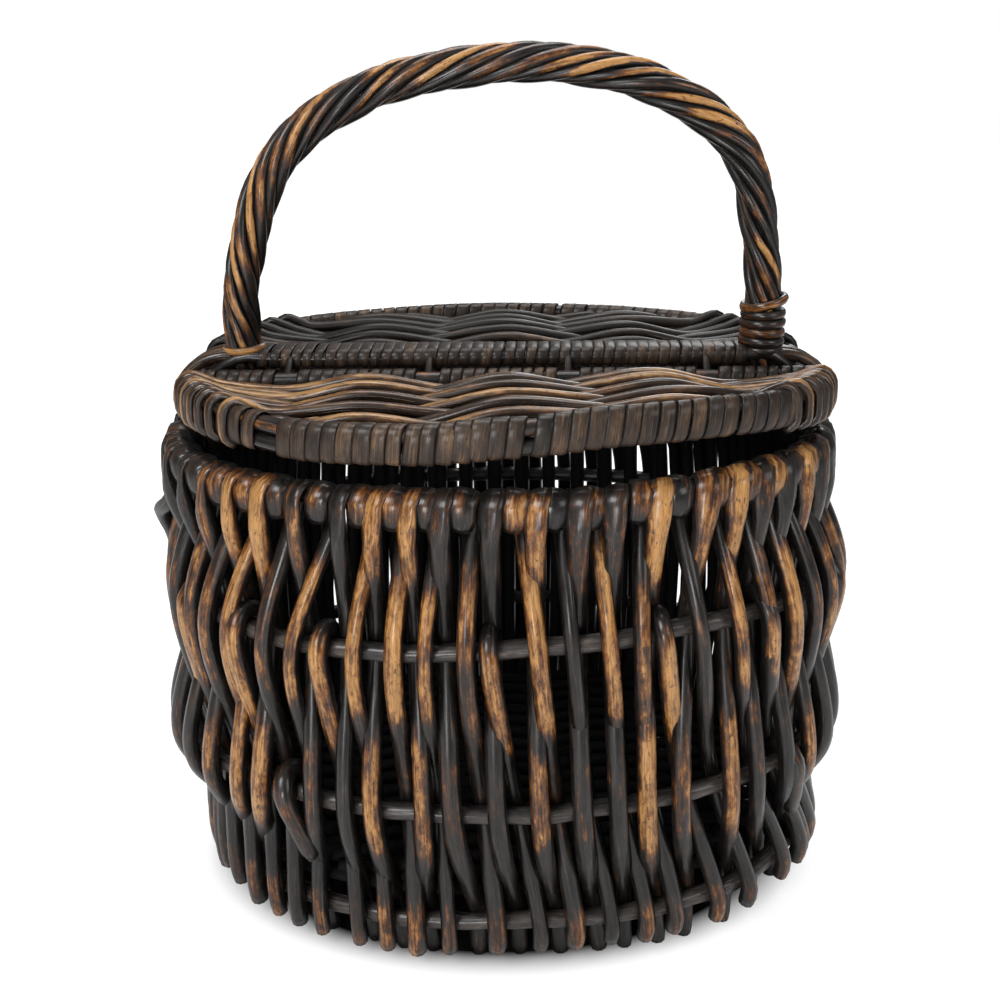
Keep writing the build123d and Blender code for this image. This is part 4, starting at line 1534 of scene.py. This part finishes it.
# ------------------------------------------------------------------------------- lids
@dataclass
class Lid:
    """Half-oval lid: ribs and woven rods inside a bound edge, hung on a bound back bar.

    The front lid is modelled; the rear one is the same turned half round the vertical.

    Attributes:
        name: Name of the lid and of the body that carries it.
        seed: Seed of the random draws of its first piece.
        warp: How far the front edge is lifted at each distance from the middle, in millimetres.
        bare_places: First and last places of stretches where the edge has lost its cane.
        edge_lift: Distance of each edge rod above or below the edge's middle.
        bar_lift: Height of the bar over the flat lid's middle.
        golden: How much the stain is rubbed off the woven rods.
        tailed_rows: Number of rows whose ends are laid over the edge.
        swing: How far a woven rod goes over and under the ribs.
        crown: How far the lid bulges up.
        first_place: Place round the edge at which its rods begin; they end at last_place.
        bound_places: Places between which the edge is bound.
        binding_stops: Ends of the stretches of the bar left bare for the hinge loops.
        first_row: Distance of the first row from the hinge.
        first_swing: Its swing over the usual one.
        first_rise: Its height at the ends over the usual one.
        first_dip: Its height halfway between ribs.
        tucked_end: Steps out and up from the edge of an end tucked inside it, in millimetres.
        tailed_end: The same for an end laid over the edge.
    """

    name: str
    seed: int
    warp: tuple[tuple[float, float], ...]
    bare_places: tuple[tuple[float, float], ...]
    height: float = HINGE_HEIGHT
    half_width: float = 148.8 * MM
    half_depth: float = 107.6 * MM
    hinge_offset: float = HINGE_OFFSET
    edge_radius: float = 3.7 * MM
    edge_lift: float = 3.9 * MM
    bar_radius: float = 4.4 * MM
    bar_lift: float = 2.0 * MM
    golden: float = 0.6
    rib_xs: tuple[float, ...] = mm(-132, -66, 0, 66, 132)
    rib_radius: float = 2.5 * MM
    weaver_radius: float = 2.9 * MM
    weaver_pitch: float = 6.7 * MM
    weaver_rows: int = 12
    tailed_rows: int = 8
    swing: float = 5.0 * MM
    crown: float = 3.5 * MM
    edge_points: int = 90
    binding_stops: tuple[float, ...] = mm(-106, -100, -40, -34, 26, 32, 92, 98)
    first_row: float = 10.0 * MM
    first_swing: float = 0.65
    first_rise: float = 0.45
    first_dip: float = -2.5 * MM
    half_rib_gap: float = 33 * MM
    tucked_end: tuple[tuple[float, float], ...] = ((-2, 2), (-9, 3))
    tailed_end: tuple[tuple[float, float], ...] = (
        (1.5, -10.2), (5.6, -7), (6.2, 0), (5.0, 6.5), (0.5, 9.8), (-6, 7.4), (-12, 4.5))
    first_place: float = 52.0
    last_place: float = 99.0
    bound_places: tuple[float, float] = (59.0, 92.0)

    @property
    def edge(self) -> Ring:
        """Line along the middle of the edge."""
        return Ring(self.half_width, self.half_depth, self.height)

    def settle(self, point: Vector) -> Vector:
        """Point of the flat lid moved to where the warped and crowned lid has it.

        Args:
            point: Point of the flat lid.

        Returns:
            The moved point.
        """
        out = min(1.0, max(0.0, (-point.y - self.hinge_offset) / (self.half_depth - self.hinge_offset)))
        lift = 0.0
        for (low, start), (high, end) in zip(self.warp, self.warp[1:]):
            if low * MM <= point.x < high * MM:
                lift = between(start, end, ease(low * MM, high * MM, point.x)) * MM
        inside = 1 - min(1.0, abs(point.x) / self.half_width) ** 4
        return point + UP * (lift * out + self.crown * inside * math.sin(math.pi * out ** 0.75))

    def edge_path(self, place: float) -> tuple[Vector, Vector]:
        """Point and outward direction along the warped edge, by its place round the ring."""
        point, outward = self.edge.at(place)
        return self.settle(point), outward

    def build(self, finishes: dict[Slot, bpy.types.Material], weave_finish: bpy.types.Material) -> None:
        """Make the bar, the edge, the ribs and the weave.

        Args:
            finishes: Material of each slot.
            weave_finish: Material of the woven rods.
        """
        jobs = (
            ("back_bar", self._back_bar, Slot.DARK, finishes[Slot.DARK]),
            ("bar_binding", self._bar_binding, Slot.CANE, finishes[Slot.CANE]),
            ("edge_lower_rod", self._lower_edge, Slot.DARK, finishes[Slot.DARK]),
            ("edge_upper_rod", self._upper_edge, Slot.DARK, finishes[Slot.DARK]),
            ("edge_binding", self._edge_binding, Slot.CANE, finishes[Slot.CANE]),
            ("ribs", self._ribs, Slot.DARK, finishes[Slot.DARK]),
            ("weavers", self._weavers, Slot.WORN, weave_finish))
        for step, (part, fill, slot, material) in enumerate(jobs):
            piece = RodPiece(f"{self.name}_willow_{part}", self.seed + step)
            fill(piece)
            if self.name == "rear_lid":
                half_turn = Matrix.Rotation(math.pi, 3, "Z")
                bmesh.ops.rotate(piece.mesh, verts=piece.mesh.verts[:], matrix=half_turn)
            piece.finish_up(material, self.name, slot.value, [f"{self.name}_{part}"])

    def _back_bar(self, piece: RodPiece) -> None:
        """Bar on which the lid turns.

        Args:
            piece: Piece that takes it.
        """
        reach = self.half_width + 2 * MM
        level = self.height + self.bar_lift
        line = smooth_line([Vector((x, -self.hinge_offset, level)) for x in (-reach, 0.0, reach)], 12 * MM)
        piece.add(Rod(line, self.bar_radius, wear=0.6, facing=UP))

    def _bar_binding(self, piece: RodPiece) -> None:
        """Cane round the bar, left out at the hinge loops.

        Args:
            piece: Piece that takes them.
        """
        path = straight_path(Vector((0, -self.hinge_offset, self.height + self.bar_lift)), Vector((0, -1, 0)))
        strip = Winding(across=5.2 * MM, rise=5.4 * MM, width=5.6 * MM, thickness=0.9 * MM,
                        pitch=5.4 * MM, wear=0.5)
        stops = [-self.half_width, *self.binding_stops, self.half_width]
        for start, end in zip(stops[::2], stops[1::2]):
            strip.wind(piece, path, start + 2.5 * MM, end - 2.5 * MM)

    def _edge_rod(self, piece: RodPiece, lift: float) -> None:
        """One rod of the edge.

        Args:
            piece: Piece that takes it.
            lift: How far it lies above the middle of the edge.
        """
        line, facing = [], []
        for index in range(self.edge_points + 1):
            share = index / self.edge_points
            point, outward = self.edge_path(between(self.first_place, self.last_place, share))
            line.append(point + UP * lift)
            facing.append(outward)
        piece.add(Rod(line, self.edge_radius, wear=0.3, facing=facing))

    def _lower_edge(self, piece: RodPiece) -> None:
        """Lower rod of the edge."""
        self._edge_rod(piece, -self.edge_lift)

    def _upper_edge(self, piece: RodPiece) -> None:
        """Upper rod of the edge."""
        self._edge_rod(piece, self.edge_lift)

    def _edge_binding(self, piece: RodPiece) -> None:
        """Cane round both edge rods, worn away in a few places.

        Args:
            piece: Piece that takes them.
        """
        strip = Winding(across=self.edge_radius + 0.7 * MM, rise=self.edge_lift + self.edge_radius + 0.7 * MM,
                        width=7.2 * MM, thickness=1.0 * MM, pitch=0.88, boxiness=0.75, wear=0.5, stations=16)
        starts = [self.bound_places[0], *(end for _, end in self.bare_places)]
        ends = [*(start for start, _ in self.bare_places), self.bound_places[1]]
        for start, end in zip(starts, ends):
            strip.wind(piece, self.edge_path, start, end)

    def _ribs(self, piece: RodPiece) -> None:
        """Rods from the bar to the edge.

        Args:
            piece: Piece that takes them.
        """
        for x in self.rib_xs:
            front = -oval_reach(x, self.half_width, self.half_depth) + 3 * MM
            knots = [Vector((x, y, self.height)) for y in (-self.hinge_offset - 2 * MM, front)]
            line = [self.settle(point) for point in smooth_line(knots, 8 * MM)]
            piece.add(Rod(line, self.rib_radius, wear=0.2))

    def _end_knots(self, end: int, y: float, reach: float, tailed: bool, rise: float) -> list[Vector]:
        """End of a woven rod, from its tip inward.

        Args:
            end: -1 at the left, 1 at the right.
            y: Place of the rod.
            reach: Distance from the middle to the edge.
            tailed: Whether the end is laid over the edge and down outside it.
            rise: How high it stands there, over the usual height.

        Returns:
            Knots of the end.
        """
        return [Vector((end * (reach + out * MM), y, self.height + up * MM * (rise if up > 0 else 1)))
                for out, up in (self.tailed_end if tailed else self.tucked_end)]

    def _weavers(self, piece: RodPiece) -> None:
        """Woven rods, over one rib and under the next, with ends laid over the edge.

        Args:
            piece: Piece that takes them.
        """
        chance = piece.random
        for row in range(self.weaver_rows):
            y = -(self.hinge_offset + self.first_row + self.weaver_pitch * row)
            reach = oval_reach(y, self.half_depth, self.half_width)
            thick = self.weaver_radius * chance.uniform(0.86, 1.14)
            tailed = row < self.tailed_rows
            # The first row lies low, so that it clears the hinge loops as the lid opens.
            rise, swing = (self.first_rise, self.first_swing) if row == 0 else (1.0, 1.0)
            middle = []
            for place, x in enumerate(self.rib_xs):
                lift = self.swing * swing * (1 if (place + row) % 2 == 0 else -1)
                middle.append(Vector((x, y, self.height + lift)))
                nudge = self.first_dip if row == 0 else chance.uniform(-0.8, 0.8) * MM
                middle.append(Vector((x + self.half_rib_gap, y - abs(nudge) * 0.2, self.height + nudge)))
            middle = [point for point in middle if abs(point.x) < reach - (20 if tailed else 14) * MM]
            knots = [*self._end_knots(-1, y, reach, tailed, rise), *middle,
                     *reversed(self._end_knots(1, y, reach, tailed, rise))]
            line = [self.settle(point) for point in smooth_line(knots, 3 * MM)]
            facing = [self._weaver_facing(point, reach) for point in line]
            base = chance.choice((0.6, 0.9, 1.1, 1.5)) * self.golden
            # The rods carry more wear towards the left of the lid.
            wear = [base + 0.6 * noise.noise(Vector((point.x * 22, row * 3.1, self.seed)))
                    + 0.35 * self.golden * ease(-30 * MM, -70 * MM, point.x) for point in line]
            radii = [thick * between(0.82, 1.0, ease(0, 16 * MM, reach - abs(point.x))) for point in line]
            piece.add(Rod(line, radii, wear=wear, facing=facing))

    def _weaver_facing(self, point: Vector, reach: float) -> Vector:
        """Upward in the weave and outward where an end goes down outside the edge."""
        lean = ease(-4 * MM, 5 * MM, abs(point.x) - reach)
        return (UP * (1.05 - lean) + Vector((math.copysign(lean, point.x), 0, 0))).normalized()


FRONT_LID = Lid(
    "front_lid", 100,
    warp=((-170, -2), (-140, -2.5), (-97, -5), (-45, -1.5), (0, 2.5), (40, 6), (80, 6), (115, 3.5),
          (150, -1), (170, -1)),
    bare_places=((62.0, 63.3), (76.1, 76.6), (87.35, 87.6)))
REAR_LID = Lid(
    "rear_lid", 200,
    warp=((-170, 0), (-120, 4), (0, 5.5), (120, 3), (170, 0)),
    bare_places=((71.0, 71.4),),
    golden=0.15)


# ------------------------------------------------------------------------------- stage
@dataclass
class Stage:
    """Pale floor, soft lamps, white surroundings and the camera.

    Each entry of `lamps` is a name, a place, a size in metres and a power in watts. `painted_shadow_oval` is
    the half-width and half-depth of a painted shadow on the ground under the creel, coloured near black so
    that it doesn't shine through the open wall.
    """

    lamps: tuple[tuple[str, tuple[float, float, float], float, float], ...] = (
        ("key", (-0.7, -1.0, 1.15), 0.6, 12.0),
        ("front", (-0.3, -1.25, 0.3), 0.3, 4.0),
        ("fill", (0.95, -0.85, 0.75), 0.6, 3.5),
        ("top", (0.0, 0.2, 1.35), 0.7, 8.0),
        ("back", (0.4, 1.1, 0.9), 0.6, 4.0))
    aim: tuple[float, float, float] = (0, 0, 0.18)
    painted_shadow_oval: tuple[float, float] = mm(166, 114)
    camera_place: tuple[float, float, float] = (-0.0170, -0.5375, 0.4048)
    camera_tilt: float = 0.366
    camera_turn: float = -0.0316
    camera_lens: float = 40.83
    camera_shift: float = -0.0063

    def build(self) -> None:
        """Set the whole stage."""
        scene = bpy.context.scene
        scene.view_settings.view_transform = "Standard"
        pieces = [self._floor(), *(self._lamp(*lamp) for lamp in self.lamps)]
        camera_data = bpy.data.cameras.new("main_camera")
        camera_data.sensor_width = 36.0
        camera_data.lens = self.camera_lens
        camera_data.shift_x = self.camera_shift
        camera = bpy.data.objects.new("main_camera", camera_data)
        camera.location = self.camera_place
        camera.rotation_euler = (math.pi / 2 - self.camera_tilt, 0.0, self.camera_turn)
        scene.collection.objects.link(camera)
        scene.camera = camera
        pieces.append(camera)
        self._surroundings()

    def _floor(self) -> bpy.types.Object:
        """Wide pale floor, seen nearly white with the creel's shadow, and a near black painted shadow under
        the creel.
        """
        material = bpy.data.materials.new("pale_studio_floor")
        material.use_nodes = True
        tree = material.node_tree
        tree.nodes.clear()
        place = add_node(tree, "ShaderNodeTexCoord").outputs["Object"]
        mottle = add_node(tree, "ShaderNodeTexNoise", {"Vector": place, "Scale": 3.0}).outputs[0]
        shade = add_node(tree, "ShaderNodeMix", {0: mottle, 6: linear("#f4f4f4"), 7: linear("#fafafa")},
                         data_type="RGBA").outputs[2]
        glow = add_node(tree, "ShaderNodeEmission", {"Color": (1, 1, 1, 1), "Strength": 1.3}).outputs[0]
        seen = add_node(tree, "ShaderNodeLightPath").outputs["Is Camera Ray"]
        half_width, half_depth = self.painted_shadow_oval
        oval = add_node(tree, "ShaderNodeVectorMath", {0: place, 1: (1 / half_width, 1 / half_depth, 0)},
                        operation="MULTIPLY").outputs[0]
        away = add_node(tree, "ShaderNodeVectorMath", {0: oval}, operation="LENGTH").outputs["Value"]
        distance = add_node(tree, "ShaderNodeMath", {0: away, 1: 6.0}, operation="DIVIDE").outputs[0]
        share = add_node(tree, "ShaderNodeValToRGB", {"Fac": distance}, ramp=(
            (0.145, "#000000"), (0.17, "#d4d4d4"), (0.3, "#d9d9d9"), (0.6, "#f4f4f4"))).outputs[0]
        # Painted shadow: inside the oval under the creel, the floor's colour goes to near black.
        under = add_node(tree, "ShaderNodeMapRange", {
            "Value": away, "From Min": 0.88, "From Max": 1.0, "To Min": 0.0, "To Max": 1.0}).outputs[0]
        shade = add_node(tree, "ShaderNodeMix", {0: under, 6: linear("#1c1a19"), 7: shade},
                         data_type="RGBA").outputs[2]
        matt = add_node(tree, "ShaderNodeBsdfDiffuse", {"Color": shade}).outputs[0]
        share = add_node(tree, "ShaderNodeMath", {0: seen, 1: share}, operation="MULTIPLY").outputs[0]
        mixed = add_node(tree, "ShaderNodeMixShader", {0: share, 1: matt, 2: glow}).outputs[0]
        add_node(tree, "ShaderNodeOutputMaterial", {"Surface": mixed})
        surface = bmesh.new()
        bmesh.ops.create_grid(surface, x_segments=4, y_segments=4, size=6.0)
        data = bpy.data.meshes.new("studio_floor")
        surface.to_mesh(data)
        surface.free()
        data.materials.append(material)
        floor = bpy.data.objects.new("studio_floor", data)
        bpy.context.scene.collection.objects.link(floor)
        return floor

    def _lamp(self, name: str, place: tuple[float, float, float], size: float,
              power: float) -> bpy.types.Object:
        """Square soft lamp that faces the creel.

        Args:
            name: First word of its name.
            place: Place of its middle.
            size: Length of its side.
            power: Power in watts.

        Returns:
            The lamp.
        """
        data = bpy.data.lights.new(f"{name}_softbox", "AREA")
        data.shape = "SQUARE"
        data.size = size
        data.energy = power
        lamp = bpy.data.objects.new(f"{name}_softbox", data)
        lamp.location = place
        aim = Vector(self.aim) - Vector(place)
        lamp.rotation_euler = aim.to_track_quat("-Z", "Y").to_euler()
        bpy.context.scene.collection.objects.link(lamp)
        return lamp

    @staticmethod
    def _surroundings() -> None:
        """White where the camera looks, plain soft light elsewhere."""
        world = bpy.data.worlds.new("studio_surroundings")
        bpy.context.scene.world = world
        world.use_nodes = True
        tree = world.node_tree
        tree.nodes.clear()
        soft = add_node(tree, "ShaderNodeBackground", {"Color": (1, 1, 1, 1), "Strength": 0.2}).outputs[0]
        white = add_node(tree, "ShaderNodeBackground", {"Color": (1, 1, 1, 1), "Strength": 1.0}).outputs[0]
        seen = add_node(tree, "ShaderNodeLightPath").outputs["Is Camera Ray"]
        mixed = add_node(tree, "ShaderNodeMixShader", {0: seen, 1: soft, 2: white}).outputs[0]
        add_node(tree, "ShaderNodeOutputWorld", {"Surface": mixed})


def main() -> None:
    """Dress the creel part by part, then set the stage."""
    logging.basicConfig(level=logging.INFO, format="%(name)s: %(message)s")
    finishes = {slot: finish.build() for slot, finish in FINISHES.items()}
    wall = Wall()
    wall.build(finishes)
    Floor().build(finishes)
    weave_finish = LID_FINISH.build()
    Crossbar().build(finishes, weave_finish, wall)
    Bow().build(finishes)
    FRONT_LID.build(finishes, weave_finish)
    REAR_LID.build(finishes, REAR_LID_FINISH.build())
    Stage().build()


if __name__ == "__main__":
    main()
